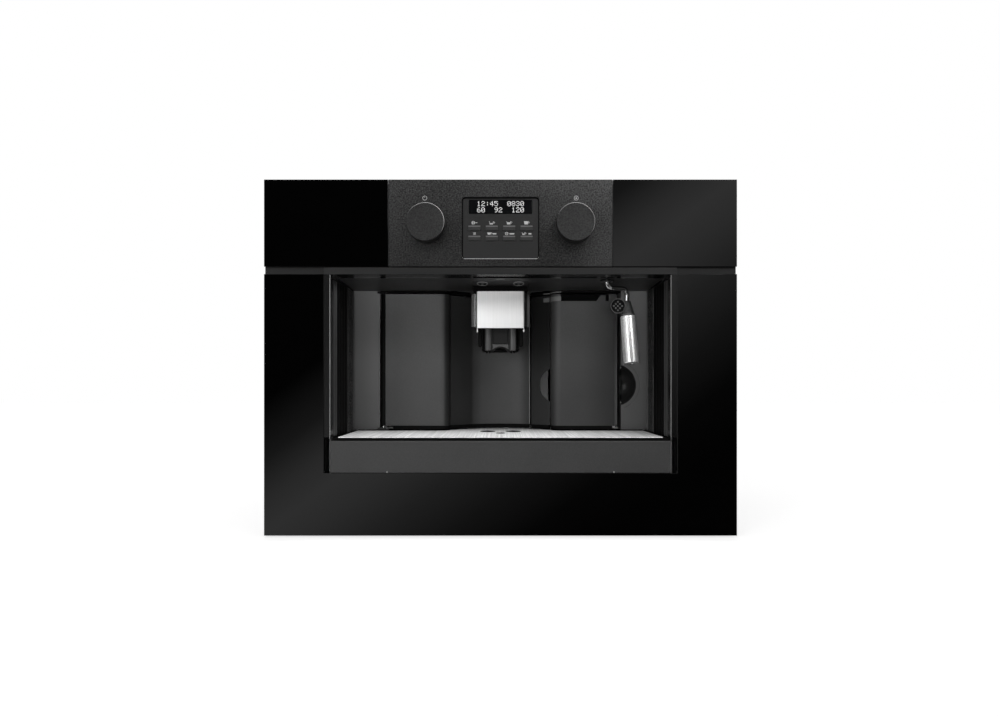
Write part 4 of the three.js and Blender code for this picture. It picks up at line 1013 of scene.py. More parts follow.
# %% Mould the tank's panel
tank_sheet = 3.7
tank_right = tank_high.x
notch_left, notch_right, notch_depth = 87.0, 157.0, 10.3
notch_foot = tank_high.z - notch_depth
plan_sides = []
for depth, radius in ((wing_depth, corner_radius), (wing_depth + tank_sheet, corner_radius - tank_sheet)):
    corner = arc(-corner_x, wing_depth + corner_radius, radius, -90, 0, 12)
    plan_sides.append([Vector((tank_right, depth))] + flipped(corner))
panel_front, panel_back = plan_sides
panel = flat([panel_front + panel_back[::-1]], tank_low.z, tank_high.z, 0.01, "z", 0)
tooth_left, tooth_slope, tooth_right = 139.0, 6.0, 152.0
tooth_top = notch_foot + 8.5
above = tank_high.z + 5
notch_tool = [(notch_left, notch_foot), (tooth_left, notch_foot), (tooth_left + tooth_slope, tooth_top),
              (tooth_right, tooth_top), (tooth_right, notch_foot), (notch_right, notch_foot),
              (notch_right, above), (notch_left, above)]
tool = flat([notch_tool], wing_depth - 5, wing_depth + 30, 0.01, "y", 0)
fit("tank_panel", cut(panel, tool, edge=0.4), tank_satin, "tank", "tank_front")

back_face = wing_depth + tank_sheet
fit("tank_notch_back", slab(notch_left - 3, notch_foot - 3, notch_right + 3, tank_high.z - 0.3,
                            back_face - 0.2, back_face + 0.5, 1, 0.1, "y"), seal_rubber, "tank")

edge_steps = ((-0.6, 1.4), (2.2, 1.8), (2.4, 0.3), (3.6, 0.3), (3.6, 3.2), (-0.6, 3.2))
edge_plan = [(tank_right + x, wing_depth + y) for x, y in edge_steps]
fit("tank_right_edge", flat([edge_plan], tank_low.z + 0.5, tank_high.z - 0.5, 0.2),
    dark_plastic, "tank")
right_half = mirrored(back_line(lip_sheet, -tank_right - 1, door_right))
lip("tank_lip", stretch(right_half, tank_low.x + lip_sheet + 0.1, tank_right), "tank")
print("notch", notch_right - notch_left, "mm wide and", notch_depth, "mm deep")

# %% [markdown]
# ## The spout
#
# Coffee leaves through two nozzles on a block that slides up and down on the door. A cover of brushed
# steel is folded round the block: a flat face and two wings that lean back and outwards. Each wing
# ends lower than the face, in a tooth whose edge rises to the rear. Behind the cover hang two milk
# tubes with rounded ends, the two coffee nozzles, and between them a flat panel that ends in an arch.

# %% Fold the cover
cover_low, cover_high = measured("spout_cover")
cover_sheet = 1.3
fold_front, flange_depth = cover_low.y, cover_high.y - 4.0
wing_half = 36.6
tooth_low, tooth_high = cover_low.z - 5.4, cover_low.z + 3.8
half_path = [(face_half - cover_sheet / 2, fold_front + cover_sheet / 2), (wing_half, flange_depth),
             (cover_high.x, flange_depth + 0.6)]
whole_path = [(-x, y) for x, y in reversed(half_path)] + half_path
cover_path = rounded(whole_path, [0, 1.2, 2.0, 2.0, 1.2, 0], 5, closed=False)
cover_mesh = flat([ribbon(cover_path, cover_sheet)], tooth_low, cover_high.z, 0.01, "z", 0)
fold_rear = fold_front + 2.6
before, below, behind = fold_front - 5, tooth_low - 9, cover_high.y + 5
under_face = [(before, below), (fold_rear, below), (fold_rear, cover_low.z), (before, cover_low.z)]
under_wing = [(fold_rear, below), (behind, below), (behind, tooth_high),
              (flange_depth - 0.8, tooth_high), (fold_rear, tooth_low)]
cuts = [flat([outline], -60, 60, 0.01, "x", 0) for outline in (under_face, under_wing)]
cover_mesh = cut(cover_mesh, *cuts, edge=0.25)
fit("spout_cover_folded", cover_mesh, spout_steel, "spout", "spout_cover", crease=40)
print("cover face", round(2 * face_half, 1), "mm wide,", round(cover_high.z - cover_low.z, 1), "mm high")

# %% Mould the block and its nozzles
block_low, block_high = measured("spout_block")
nozzle_x, nozzle_radius, nozzle_tip = 16.9, 4.6, block_low.z
nozzle_y, tube_x, tube_radius = 75.0, 28.1, 2.6
block_nose, block_foot = 72.0, nozzle_tip + 4.2
arch_top, arch_radius = nozzle_tip + 8.4, 15.4
recess_foot = arch_top + 4.0
block_half = 21.6
body_outline = rounded([(-block_half, block_foot), (block_half, block_foot), (block_half, block_high.z),
                        (-block_half, block_high.z)], [1.5, 1.5, 1, 1], 4)
body = flat([body_outline], block_nose + 1.0, block_high.y, 0.5, "y")
arch_z, cut_back = arch_top - arch_radius, block_high.y + 5
arch_tool = flat([circle(0, arch_z, arch_radius, 96)], block_nose - 20, cut_back, 0.01, "y", 0)
recess_outline = box_outline(-10.2, recess_foot, 10.2, block_high.z - 2, 0.6)
recess_tool = flat([recess_outline], block_nose - 5, block_nose + 3.0, 0.01, "y", 0)
fit("spout_body", cut(body, arch_tool, recess_tool, edge=0.35), black_plastic,
    "spout", "spout_block")
fit("spout_recess_panel", slab(-9.6, recess_foot + 0.6, 9.6, block_high.z - 3,
                               block_nose + 2.4, block_nose + 3.6, 0.4, 0.3, "y"), recess_satin, "spout")

lip_half = 10.4
lip_angle = degrees(acos(lip_half / arch_radius))
lip_outline = [Vector((lip_half, recess_foot - 0.3)), Vector((-lip_half, recess_foot - 0.3))]
lip_outline += arc(0, arch_z, arch_radius + 0.7, 180 - lip_angle, lip_angle, 24)
fit("arch_lip", flat([lip_outline], block_nose - 0.2, block_nose + 3, 0.3, "y"),
    nozzle_satin, "spout")

for side, sign in both_sides:
    shank_foot, shank_head = nozzle_tip + 3.6, block_high.z - 4
    shank = turned([(0, shank_foot), (nozzle_radius - 0.7, shank_foot), (nozzle_radius, shank_foot + 0.7),
                    (nozzle_radius, shank_head), (0, shank_head)], 48)
    outlet = [(0, nozzle_tip), (0.7, nozzle_tip), (1.2, nozzle_tip + 0.8), (1.9, shank_foot - 0.2),
              (1.9, shank_foot + 0.4), (0, shank_foot + 0.4)]
    tips = [moved(turned(outlet, 24), (sign * nozzle_x + offset, nozzle_y - 0.5, 0))
            for offset in (-1.9, 1.9)]
    fit("coffee_nozzle_" + side, moved(shank, (sign * nozzle_x, nozzle_y, 0)),
        nozzle_satin, "spout")
    fit("nozzle_tips_" + side, joined(*tips), seal_rubber, "spout")
    dome = arc(0, nozzle_tip + 8.4 + tube_radius, tube_radius, -90, 0, 8)
    tube_profile = [(abs(p.x), p.y) for p in dome] + [(tube_radius, block_high.z - 3), (0, block_high.z - 3)]
    milk = moved(turned(tube_profile, 40), (sign * tube_x, nozzle_y + 1, 0))
    fit("milk_tube_" + side, milk, seal_rubber, "spout")
print("nozzles", round(2 * nozzle_x, 1), "mm apart, tips at", round(nozzle_tip, 1))

# %% [markdown]
# ## The steam wand
#
# A drawn steel tube comes down from the ceiling, leans outwards and turns down again. A black grip
# with a round paddle lets one swing it, and below the grip hangs the bright sleeve that froths the
# milk. The tube follows the solid's own bends, as a path with rounded corners. The grip, the collar
# and the sleeve are turned about the wand's lower axis, which leans a little forward.

# %% Bend the tube
pivot = Vector((141.0, 42.0, measured("steam_tube")[1].z))
wand_top = Vector((171.3, 55.5, 284.5))
straight_down = Vector((0, 0, -1))
wand_lean = Vector((3.0, -10.0, -64.0)).normalized()
grip_rise, grip_drop = 21.0, 2.2
grip_top = wand_top - wand_lean * (grip_rise - grip_drop)
arm_height, socket_height, tube_half = 319.8, 329.4, 3.0
wand_path = [pivot, Vector((pivot.x, pivot.y, arm_height)),
             Vector((grip_top.x + 0.6, grip_top.y - 1.5, arm_height)), grip_top, wand_top + wand_lean * 4]
wand_bends = rounded(wand_path, [0, 6.5, 9, 4, 0], 10, closed=False)
fit("steam_pipe", bent(wand_bends, tube_half), polished_steel, "wand", "steam_tube")
socket = turned([(0, 0), (5.2, 0), (5.2, -1.6), (4.6, -2.6), (0, -2.6)], 32)
fit("steam_socket", moved(socket, (pivot.x, pivot.y, socket_height)), seal_rubber)
print("wand leans", round(degrees(wand_lean.angle(straight_down)), 1), "degrees")


# %% Turn the grip, its paddle and the sleeve
def on_wand(mesh, along):
    """Put a turned mesh on the wand's lower axis, with its foot this far below the joint."""
    turn = straight_down.rotation_difference(wand_lean).to_matrix().to_4x4()
    return moved(mesh, wand_top + wand_lean * along, turn)


grip = turned([(0, grip_rise), (4.6, grip_rise), (5.4, grip_rise - 0.8), (6.3, grip_rise - 6),
               (8.2, 5.5), (8.9, 3.4), (8.9, 2.6), (0, 2.6)], 64)
fit("wand_grip_cone", on_wand(grip, grip_drop), grip_gloss, "wand", "wand_grip")
collar = turned([(0, 2.5), (9.0, 2.5), (9.4, 2.1), (9.4, 0.9), (9.0, 0.5), (0, 0.5)], 64)
fit("wand_collar", on_wand(collar, grip_drop), nozzle_satin, "wand")

sleeve_length, sleeve_head, sleeve_foot = 64.0, 10.3, 10.8
end, ledge = -sleeve_length, sleeve_head - 0.35
sleeve_profile = [(3.4, 0), (sleeve_head - 1.2, 0), (sleeve_head, -0.8), (sleeve_head, -3.4),
                  (ledge, -3.7), (ledge, -4.1), (sleeve_head, -4.4), (sleeve_foot, end + 0.6),
                  (sleeve_foot - 0.6, end), (2.2, end), (1.8, end + 0.5), (1.8, end + 4), (4.6, end + 6),
                  (4.6, -12), (3.4, -9), (3.4, 0)]
fit("frothing_sleeve", on_wand(turned(sleeve_profile, 96), grip_drop), sleeve_steel,
    "sleeve", "wand_sleeve")

paddle_centre = Vector((157.4, 54.0, 296.2))
paddle_radius = 10.2
brim = paddle_radius - 0.6
paddle = turned([(0, -2.4), (brim, -2.4), (paddle_radius, -1.8), (paddle_radius, 1.6), (brim, 2.3),
                 (paddle_radius - 1.1, 2.3), (paddle_radius - 1.5, 1.4), (0, 1.4)], 64)
fit("wand_paddle", moved(paddle, paddle_centre, upright), seal_rubber, "wand")
rim = turned([(paddle_radius - 1.2, 2.0), (paddle_radius - 0.9, 2.5), (paddle_radius - 0.4, 2.5),
              (paddle_radius - 0.1, 2.0), (paddle_radius - 1.2, 2.0)], 64)
fit("paddle_rim", moved(rim, paddle_centre, upright), dark_plastic, "wand")
stud_pitch = 5.6
stud_profile = [(0, 1.2), (1.35, 1.2), (1.25, 1.8), (0.8, 2.2), (0, 2.35)]
stud_places = [((column + (row % 2) / 2) * stud_pitch, row * stud_pitch / 2, 0)
               for row in range(-3, 4) for column in range(-2, 3)]
studs = [moved(turned(stud_profile, 12), paddle_centre, upright, Matrix.Translation(place))
         for place in stud_places if Vector(place).length < paddle_radius - 2.4]
fit("paddle_studs", joined(*studs), dark_plastic, "wand")
print(len(studs), "studs on the paddle")

# %% [markdown]
# ## The cup plate, the lamps and the trim
#
# The plate is thin steel, brushed from front to back, with three drain holes whose rims are pressed down a
# little. Over it two lamps are let into the ceiling, each a rim round a lens with two small dark pins. A
# bright steel strip runs down each side of the alcove, a painted highlight on the trim's inner edge.

# %% Press the cup plate
plate_low, plate_high = measured("cup_plate")
plate_half, plate_back = plate_high.x, wing_depth - 7
plate_corner = arc(-corner_x, plate_back + corner_radius, corner_radius, -90, 0, 8)
plate_plan = [(-plate_half, plate_low.y), (plate_half, plate_low.y), (plate_half, plate_back),
              (corner_x, plate_back), *flipped(plate_corner),
              *arc(0, hollow_y, hollow_radius - 7, 64, 116, 24), *plate_corner[::-1],
              (-corner_x, plate_back), (-plate_half, plate_back)]
drains = [(-18.0, 104.0, 10.4), (18.0, 104.0, 10.4), (0.0, 69.0, 6.0)]
holes = [circle(x, y, r) for x, y, r in drains]
fit("cup_plate_pressed", flat([plate_plan] + holes, plate_low.z, plate_high.z, 0.35),
    plate_steel, "plate", "cup_plate")
mat_lap, mat_stretch = 0.5, 1.35
rims = []
for x, y, r in drains:
    lining = [(r - 0.1, -0.1), (r - 0.7, -0.4), (r - 0.7, -3.6), (r - 0.1, -3.6), (r - 0.1, -0.1)]
    half = r + mat_lap
    mat_y = y + half - half * mat_stretch
    oval = [(x + p.x, mat_y + p.y * mat_stretch) for p in circle(0, 0, half, 60)]
    rims += [moved(turned(lining, 48), (x, y, plate_high.z)),
             flat([oval, circle(x, y, r - 0.3)], plate_high.z - 0.1, plate_high.z + 0.12, 0.05)]
fit("drain_rims", joined(*rims), seal_rubber, "plate")
print("plate", round(2 * plate_half, 1), "mm wide with", len(drains), "drains")

# %% Make the lamps and the painted edge highlights
panel_half, panel_front, panel_back = 37.2, 42.0, 65.0
panel_drop = 4.7
panel_side = [(panel_front, ceiling_z + 0.4), (panel_front, ceiling_z - 0.1),
              (panel_back, ceiling_z - panel_drop), (panel_back, ceiling_z + 0.4)]
fit("lamp_panel", flat([panel_side], -panel_half, panel_half, 0.3, "x"), lintel_satin)
slope = panel_drop / (panel_back - panel_front)
tilt = Matrix.Rotation(-atan2(slope, 1), 4, "X")
pin_profile = [(0, -1.6), (1.6, -1.5), (2.0, -1.1), (2.0, 1), (0, 1)]
for side, _ in both_sides:
    low, high = measured("lamp_" + side)
    middle = middle_of("lamp_" + side)
    lamp_y = middle.y - 4.0
    radius = (high.x - low.x) / 2 + 0.5
    inner = radius - 1.0
    place = (middle.x, lamp_y, ceiling_z - slope * (lamp_y - panel_front))
    lens = turned([(0, -0.9), (radius - 3, -0.7), (radius - 0.9, 0), (radius - 0.9, 2), (0, 2)], 48)
    lamp_rim = turned([(inner, 2), (inner, -0.3), (radius - 0.7, -0.7), (radius - 0.3, -0.7),
                       (radius, -0.3), (radius, 2), (inner, 2)], 48)
    pins = [moved(turned(pin_profile, 20), place, tilt, Matrix.Translation((offset, 0, 0)))
            for offset in (-3.2, 3.2)]
    fit("lamp_lens_" + side, moved(lens, place, tilt), lamp_lens, "machine", "lamp_" + side)
    fit("lamp_rim_" + side, moved(lamp_rim, place, tilt), tab_grey, "machine")
    fit("lamp_pins_" + side, joined(*pins), seal_rubber)

slot_foot, slot_head, latch_x = ceiling_z - 0.3, ceiling_z + 0.2, 11
slots = [(-panel_half, 17, panel_half, 26), (-panel_half, 30, -latch_x, 38), (latch_x, 30, panel_half, 38)]
# Painted shade: the slots are flat black plates just under the ceiling, which stand for the dark inside them.
shade = [slab(*corners, slot_foot, slot_head, 0.5, 0.1) for corners in slots]
fit("ceiling_slots", joined(*shade), seal_rubber)
fit("panel_latch", slab(-5.6, 31, 5.6, 37, ceiling_z - 1.0, slot_head, 1.5, 0.3),
    tab_grey, "machine")

# Painted highlight: a bright steel strip down the inner edge of each trim leg.
leg_inner, edge_highlight_width = alcove_high.x - 7.0, 0.6
for side, sign in both_sides:
    x_in, x_out = sorted((sign * leg_inner, sign * (leg_inner - edge_highlight_width)))
    strip = slab(x_in, 0.3, x_out, 1.4, alcove_low.z, alcove_high.z - 9.2, 0.2, 0.2, "z", 2)
    fit("trim_edge_highlight_" + side, strip, edge_steel, "machine")
print("arrises", round(2 * leg_inner, 1), "mm apart")

# %% [markdown]
# ## Small parts that one notices up close
#
# A light tab marks where the tank is lifted, and another closes the flank beside it. The hinge has a
# small leaf at the door's lower corner, two pins hold the tray's front, two more sit in the gap
# beside the finger recess, and a fine ring surrounds that recess. The groove between the upper and
# the lower glass holds a dark rail on each side.

# %% Add the tabs, the pins and the seals
tab_foot, tab_head = tank_high.z - 9.8, tank_high.z - 3.5
tab_left, tab_right = tank_low.x - 9.3, tank_low.x + 14.3
right_line = mirrored(back_line(0, -tank_right - 1, door_right))
tabs = (("flank_tab", tab_left, tank_low.x - 0.8, tab_foot, tab_head, 0.0, "machine"),
        ("tank_tab", tank_low.x + 0.1, tab_right, tab_foot, tab_head, 0.0, "tank"),
        ("lintel_tab", tab_left, tab_right, lintel_foot + 0.2, lintel_foot + 1.8, 0.6, "machine"))
for name, x_from, x_to, foot, head, inset, body in tabs:
    line = [p + Vector((0, inset)) for p in stretch(right_line, x_from, x_to)]
    fit(name, flat([ribbon(line, 1.4)], foot, head, 0.3), tab_grey, body)
lip("flank_lip", stretch(right_half, door_right + 3.0, tank_low.x - 1.0), "machine")

leaf_steps = ((1.5, -5), (8, -5), (8, -3.4), (5.6, -2.6), (5.6, -0.7), (1.5, -0.7))
leaf = rounded([(hinge.x + x, door_low.z + z) for x, z in leaf_steps], 0.5, 3)
fit("hinge_leaf", flat([leaf], wing_depth - 1.0, wing_depth + 0.6, 0.25, "y"),
    dark_plastic, "machine")
fit("tank_stop", slab(tank_right - 3, tank_low.z - 3.5, tank_right + 0.8, tank_low.z + 0.6,
                      wing_depth + 0.4, wing_depth + 1.8, 0.6, 0.25, "y", 3),
    tab_grey, "tank")


def pin_head(name, place, radius, rise, body):
    """A small domed pin that faces the front."""
    dome = [(radius * cos(a), rise * sin(a)) for a in (radians(18 * k) for k in range(5))]
    pin = turned([(0, -1.0), (radius, -1.0)] + dome + [(0, rise)], 20)
    fit(name, moved(pin, place, upright), edge_steel, body)


tray_low, tray_high = measured("tray_front")
pin_spread = tray_high.x * 2 / 3
for side, sign in both_sides:
    pin_head("tray_pin_" + side, (sign * pin_spread, tray_low.y, tray_low.z + 0.9), 0.9, 0.5, "tray")
for name, z in (("upper", 215.4), ("lower", 165.4)):
    pin_head("recess_pin_" + name, (174.0, wing_depth + 1.0, z), 0.8, 0.7, "machine")

ring_outer, ring_width, ring_reach = 35.5, 0.8, 68
recess_ring = arched(dish_x, dish_z, ring_outer, ring_outer - ring_width, -ring_reach, ring_reach, 40)
fit("recess_ring", flat([recess_ring], wing_depth - 0.35, wing_depth + 0.3, 0.15, "y"),
    flank_plastic, "machine")

groove_low, groove_high = glass_high.z, measured("control_fascia")[0].z
for side, sign in both_sides:
    x_in, x_out = sorted((sign * (alcove_high.x + 0.3), sign * (glass_high.x - 0.3)))
    rail = slab(x_in, groove_low + 0.1, x_out, groove_high - 0.1, 3.4, 8.2, 0.3, 0.3, "y")
    fit("groove_rail_" + side, rail, groove_metal)
print("tray pins", round(2 * pin_spread, 1), "mm apart, groove", round(groove_high - groove_low, 1), "mm")

# %% [markdown]
# ## Screws, beads and grips on the body
#
# Thin sheet is stiffened with pressed beads, which stand a little proud and have round ends. The back
# cover and the housing are held with pan head screws, each a turned head with a cross in it. The
# hopper lid has a grip at its front, the grinding adjuster has ribs round its rim and a mark on top.

# %% Make a screw that can face any way
screw_radius = 3.3
screw_rounds = [(0, -1.0), (screw_radius, -1.0), (screw_radius, 0.3), (screw_radius - 0.4, 0.9),
                (screw_radius - 1.4, 1.35), (0, 1.5)]
cross_half, cross_width = 1.9, 0.45


def screws(name, places, turn):
    """Pan head screws at the given places in millimetres, turned to face one way."""
    heads, crosses = [], []
    for place in places:
        heads.append(moved(turned(screw_rounds, 28), place, turn))
        for quarter in (0, 90):
            cross = slab(-cross_half, -cross_width, cross_half, cross_width, 1.2, 1.56, 0.2, 0.05)
            crosses.append(moved(cross, place, turn, Matrix.Rotation(radians(quarter), 4, "Z")))
    fit(name, joined(*heads), rail_steel, "machine")
    fit(name + "_crosses", joined(*crosses), seal_rubber)


back_low, back_high = measured("back_cover")
screw_in = 10.0
left, right = back_low.x + screw_in, back_high.x - screw_in
foot, middle, head = back_low.z + screw_in, (back_low.z + back_high.z) / 2, back_high.z - screw_in
cover_places = [(x, back_high.y, z) for x in (left, right) for z in (foot, middle, head)]
cover_places += [(0, back_high.y, z) for z in (foot, head)]
screws("cover_screws", cover_places, Matrix.Rotation(radians(-90), 4, "X"))

wrap_low, wrap_high = measured("housing_wrap")
for side, sign in both_sides:
    spots = [(sign * wrap_high.x, y, z) for y in (wrap_low.y + 18, wrap_high.y - 18)
             for z in (wrap_high.z - 14, wrap_high.z - 200)]
    screws("housing_screws_" + side, spots, Matrix.Rotation(radians(90 * sign), 4, "Y"))
print(len(cover_places), "screws hold the back cover")

# %% Press the beads, and add the grips
bead_half, bead_rise, bead_pitch, bead_in = 6.0, 1.2, 90, 60
for side, sign in both_sides:
    face = sign * wrap_high.x
    low, high = sorted((face - sign * 0.3, face + sign * bead_rise))
    beads = []
    for k in range(4):
        z = wrap_high.z - bead_in - bead_pitch * k
        beads.append(slab(wrap_low.y + bead_in, z - bead_half, wrap_high.y - bead_in, z + bead_half,
                          low, high, bead_half - 0.1, 0.9, "x"))
    fit("housing_beads_" + side, joined(*beads), zinc_sheet, "machine")

lid_low, lid_high = measured("bean_lid")
lid_x, lid_face, grip_half = middle_of("bean_lid").x, lid_high.z, 28
grip = slab(lid_x - grip_half, lid_low.y + 9, lid_x + grip_half, lid_low.y + 17,
            lid_face - 0.3, lid_face + 4.5, 3.9, 1.2)
rims = [box_outline(lid_low.x + inset, lid_low.y + 18 + inset, lid_high.x - inset, lid_high.y - inset, radius)
        for inset, radius in ((6, 8), (8, 6))]
fit("lid_grip", joined(grip, flat(rims, lid_face - 0.3, lid_face + 0.6, 0.25)), black_plastic, "hopper_lid")

dial_low, dial_high = measured("grind_adjuster")
dial = middle_of("grind_adjuster")
dial_radius, ribs = (dial_high.x - dial_low.x) / 2, 30
dial_ribs = []
for k in range(ribs):
    rib = slab(dial_radius - 0.4, -0.55, dial_radius + 0.5, 0.55,
               dial_low.z + 17, dial_high.z - 1.2, 0.3, 0.2)
    dial_ribs.append(moved(rib, (dial.x, dial.y, 0), Matrix.Rotation(2 * pi * k / ribs, 4, "Z")))
fit("adjuster_ribs", joined(*dial_ribs), black_plastic, "adjuster")
fit("adjuster_mark", slab(dial.x - 0.8, dial.y - dial_radius + 2, dial.x + 0.8, dial.y - 5,
                          dial_high.z - 0.2, dial_high.z + 0.15, 0.6, 0.05),
    white_ink, "adjuster")
print("beads", bead_rise, "mm proud,", len(dial_ribs), "ribs on the adjuster")

# %% [markdown]
# ## Finishes for the solids that stay
#
# The rest of the machine keeps the frame's solids. They come with flat faces and sharp edges, and no
# real part has a perfectly sharp edge. A small group of geometry nodes welds their corners and lets
# the rounds shade smoothly, and a Bevel breaks the edges by a few tenths of a millimetre.

# %% A group that cleans the solids' surfaces
def smoothing_group(limit):
    """Weld the corners, shade the faces smoothly, and keep edges sharper than the limit."""
    group = bpy.data.node_groups.new("clean_surfaces", "GeometryNodeTree")
    for direction in ("INPUT", "OUTPUT"):
        group.interface.new_socket("Geometry", in_out=direction, socket_type="NodeSocketGeometry")
    start, end = group.nodes.new("NodeGroupInput"), group.nodes.new("NodeGroupOutput")
    weld = group.nodes.new("GeometryNodeMergeByDistance")
    weld.inputs["Distance"].default_value = 0.01 * mm
    smooth = group.nodes.new("GeometryNodeSetShadeSmooth")
    keep = group.nodes.new("GeometryNodeSetShadeSmooth")
    keep.domain = "EDGE"
    keep.inputs["Shade Smooth"].default_value = False
    angle = group.nodes.new("GeometryNodeInputMeshEdgeAngle")
    sharp = group.nodes.new("FunctionNodeCompare")
    sharp.inputs["B"].default_value = limit
    for source, target in ((start.outputs[0], weld.inputs["Geometry"]),
                           (weld.outputs["Geometry"], smooth.inputs["Geometry"]),
                           (smooth.outputs["Geometry"], keep.inputs["Geometry"]),
                           (angle.outputs["Unsigned Angle"], sharp.inputs["A"]),
                           (sharp.outputs["Result"], keep.inputs["Selection"]),
                           (keep.outputs["Geometry"], end.inputs[0])):
        group.links.new(source, target)
    return group


clean_surfaces = smoothing_group(radians(30))


def dress(finish, edge, *names):
    """Give solids of the frame a finish and broken edges of this width in millimetres."""
    for name in names:
        solid = nodes[name]
        for place in solid.material_slots:
            place.material = finish.material
        solid.modifiers.new("clean", "NODES").node_group = clean_surfaces
        faces = solid.modifiers.new("faces", "DECIMATE")
        faces.decimate_type, faces.angle_limit = "DISSOLVE", radians(0.3)
        bevel = solid.modifiers.new("edges", "BEVEL")
        bevel.width, bevel.segments = edge * mm, 2
        bevel.limit_method, bevel.angle_limit = "ANGLE", radians(32)
        solid.modifiers.new("normals", "WEIGHTED_NORMAL").keep_sharp = True


# %% Finish the front
trim_metal = Finish("trim_metal", grey(0.03), 0.3, 0.4)
lintel = trim_metal.spread(trim_metal.along("Z"), (ceiling_z - 0.4) * mm, (ceiling_z - 0.1) * mm)
trim_grain = trim_metal.noise(0.8)
lintel_tone = trim_metal.blend(trim_grain, grey(0.011), grey(0.016))
trim_metal.set("Base Color", trim_metal.blend(lintel, grey(0.002), lintel_tone))
trim_metal.set("Metallic", trim_metal.spread(lintel, 0, 1, 0.0, 0.3))
trim_metal.set("Roughness", trim_metal.spread(lintel, 0, 1, 0.25, 0.4))
trim_metal.bumps(trim_grain, 0.005)

dress(black_glass, 0.3, "lower_glass", "upper_glass_left", "upper_glass_right")
dress(satin_metal, 0.5, "control_fascia")
dress(groove_metal, 0.4, "front_frame")
dress(trim_metal, 0.4, "alcove_trim")
dress(liner, 0.3, "alcove_liner")
dress(key_panel, 0.3, "keypad_plate")
dress(smoked_glass, 0.3, "display_glass")
# Painted light: faces of the flank that look to the right, such as the left side of its finger recess, are
# painted much lighter.
painted_recess_light = flank_plastic.spread(flank_plastic.facing("X"), 0.15, 0.35)
flank_plastic.set("Base Color", flank_plastic.blend(painted_recess_light, grey(0.03), grey(0.3)))
flank_plastic.set("Metallic", flank_plastic.spread(painted_recess_light, 0, 1, 0.5, 0.0))
dress(flank_plastic, 0.4, "flank_panel")
dress(tray_plastic, 0.5, "tray_front")
dress(seal_rubber, 0.4, "spout_guide", "drip_tray")
dress(black_plastic, 0.4, "wand_nozzle")
dress(polished_steel, 0.2, "hinge_pin", "knob_shaft_left", "knob_shaft_right")
dress(circuit_board, 0.2, "control_board")
dress(clear_plastic, 0.5, "water_tank", "tank_lid", "bean_hopper", "bean_lid")
print("front solids dressed")

# %% Finish the body behind
dress(zinc_sheet, 0.3, "mounting_base", "housing_wrap", "chassis", "back_cover")
dress(rail_steel, 0.3, "outer_rail_left", "outer_rail_right", "middle_rail_left", "middle_rail_right",
      "inner_rail_left", "inner_rail_right")
dress(black_plastic, 0.5, "power_inlet", "main_switch", "grinder", "brew_unit", "grounds_container",
      "pump", "grind_adjuster")
dress(brass, 0.3, "boiler")
print("body solids dressed")

# %% [markdown]
# ## The studio
#
# The photograph was taken from straight in front, so the front glass mirrors what stands behind the
# camera. In the picture that is darkness with one broad soft band across it. The world is therefore
# white for the camera and seen through glass, pale to the sides, above and behind for reflections,
# and dark in front. A single card in front of the machine carries the soft band, and only glossy rays
# see it. The lamps stay at a plain level, so that a colour looks about as it was written.

# %% The world
world = bpy.data.worlds.new("studio")
bpy.context.scene.world = world
sky = Tree(world)
backdrop = sky.nodes["Background"]
ray = sky.add("ShaderNodeLightPath").outputs
towards = sky.split(sky.add("ShaderNodeTexCoord").outputs["Generated"])
beside = sky.spread(towards["Y"], -0.86, -0.25, 0.012, 0.85, "SMOOTHSTEP")
slant = sky.maths("ADD", towards["Z"], sky.maths("MULTIPLY", towards["X"], 0.4))
above = sky.spread(slant, -0.7, 0.6, 0.3, 1.0)
mirrored_room = sky.maths("MULTIPLY", ray["Is Glossy Ray"], sky.maths("MULTIPLY", beside, above))
seen_white = sky.maths("MAXIMUM", ray["Is Camera Ray"], ray["Is Transmission Ray"])
unseen = sky.maths("SUBTRACT", 1.0, sky.maths("MAXIMUM", seen_white, ray["Is Glossy Ray"]))
diffuse_level = 0.5
level = sky.maths("ADD", sky.maths("MAXIMUM", seen_white, mirrored_room),
                  sky.maths("MULTIPLY", unseen, diffuse_level))
sky.feed(backdrop.inputs["Strength"], level)
sky.feed(backdrop.inputs["Color"], (1, 1, 1, 1))
print("world ready")


# %% The lamps, the floor and the reflected band
def softbox(name, place, target, width, height, watts, glossy=True):
    """A rectangular lamp that looks at a target."""
    light = bpy.data.lights.new(name, "AREA")
    light.shape, light.size, light.size_y, light.energy = "RECTANGLE", width, height, watts
    lamp = bpy.data.objects.new(name, light)
    bpy.context.scene.collection.objects.link(lamp)
    lamp.location = place
    lamp.rotation_euler = (Vector(target) - Vector(place)).to_track_quat("-Z", "Y").to_euler()
    lamp.visible_camera = False
    lamp.visible_glossy = glossy
    return lamp


softbox("key", (-0.5, -1.8, 1.5), (0, -0.1, 0.2), 1.2, 0.9, 5)
top_right = softbox("top_right", (0.95, -1.75, 1.55), (0.1, -0.1, 0.35), 0.9, 0.8, 12)
top_right.visible_diffuse = False
softbox("side_light", (-2.5, -3.2, 0.8), (0, -0.1, 0.2), 1.2, 1.6, 24)
softbox("fill", (-0.1, -2.2, 0.12), (0, -0.1, 0.27), 1.2, 0.4, 16, glossy=False)
plate_glow = softbox("plate_glow", (-0.02, glass_y + 0.031, (ceiling_z - 2.5) * mm),
                     (-0.02, glass_y + 0.055, 0.1), 0.38, 0.024, 0.3, glossy=False)
plate_glow.data.spread = radians(90)


def stage_plane(name, corners):
    """A flat piece of the studio."""
    form = bmesh.new()
    form.faces.new([form.verts.new(corner) for corner in corners])
    thing = bpy.data.objects.new(name, as_mesh(form))
    bpy.context.scene.collection.objects.link(thing)
    return thing


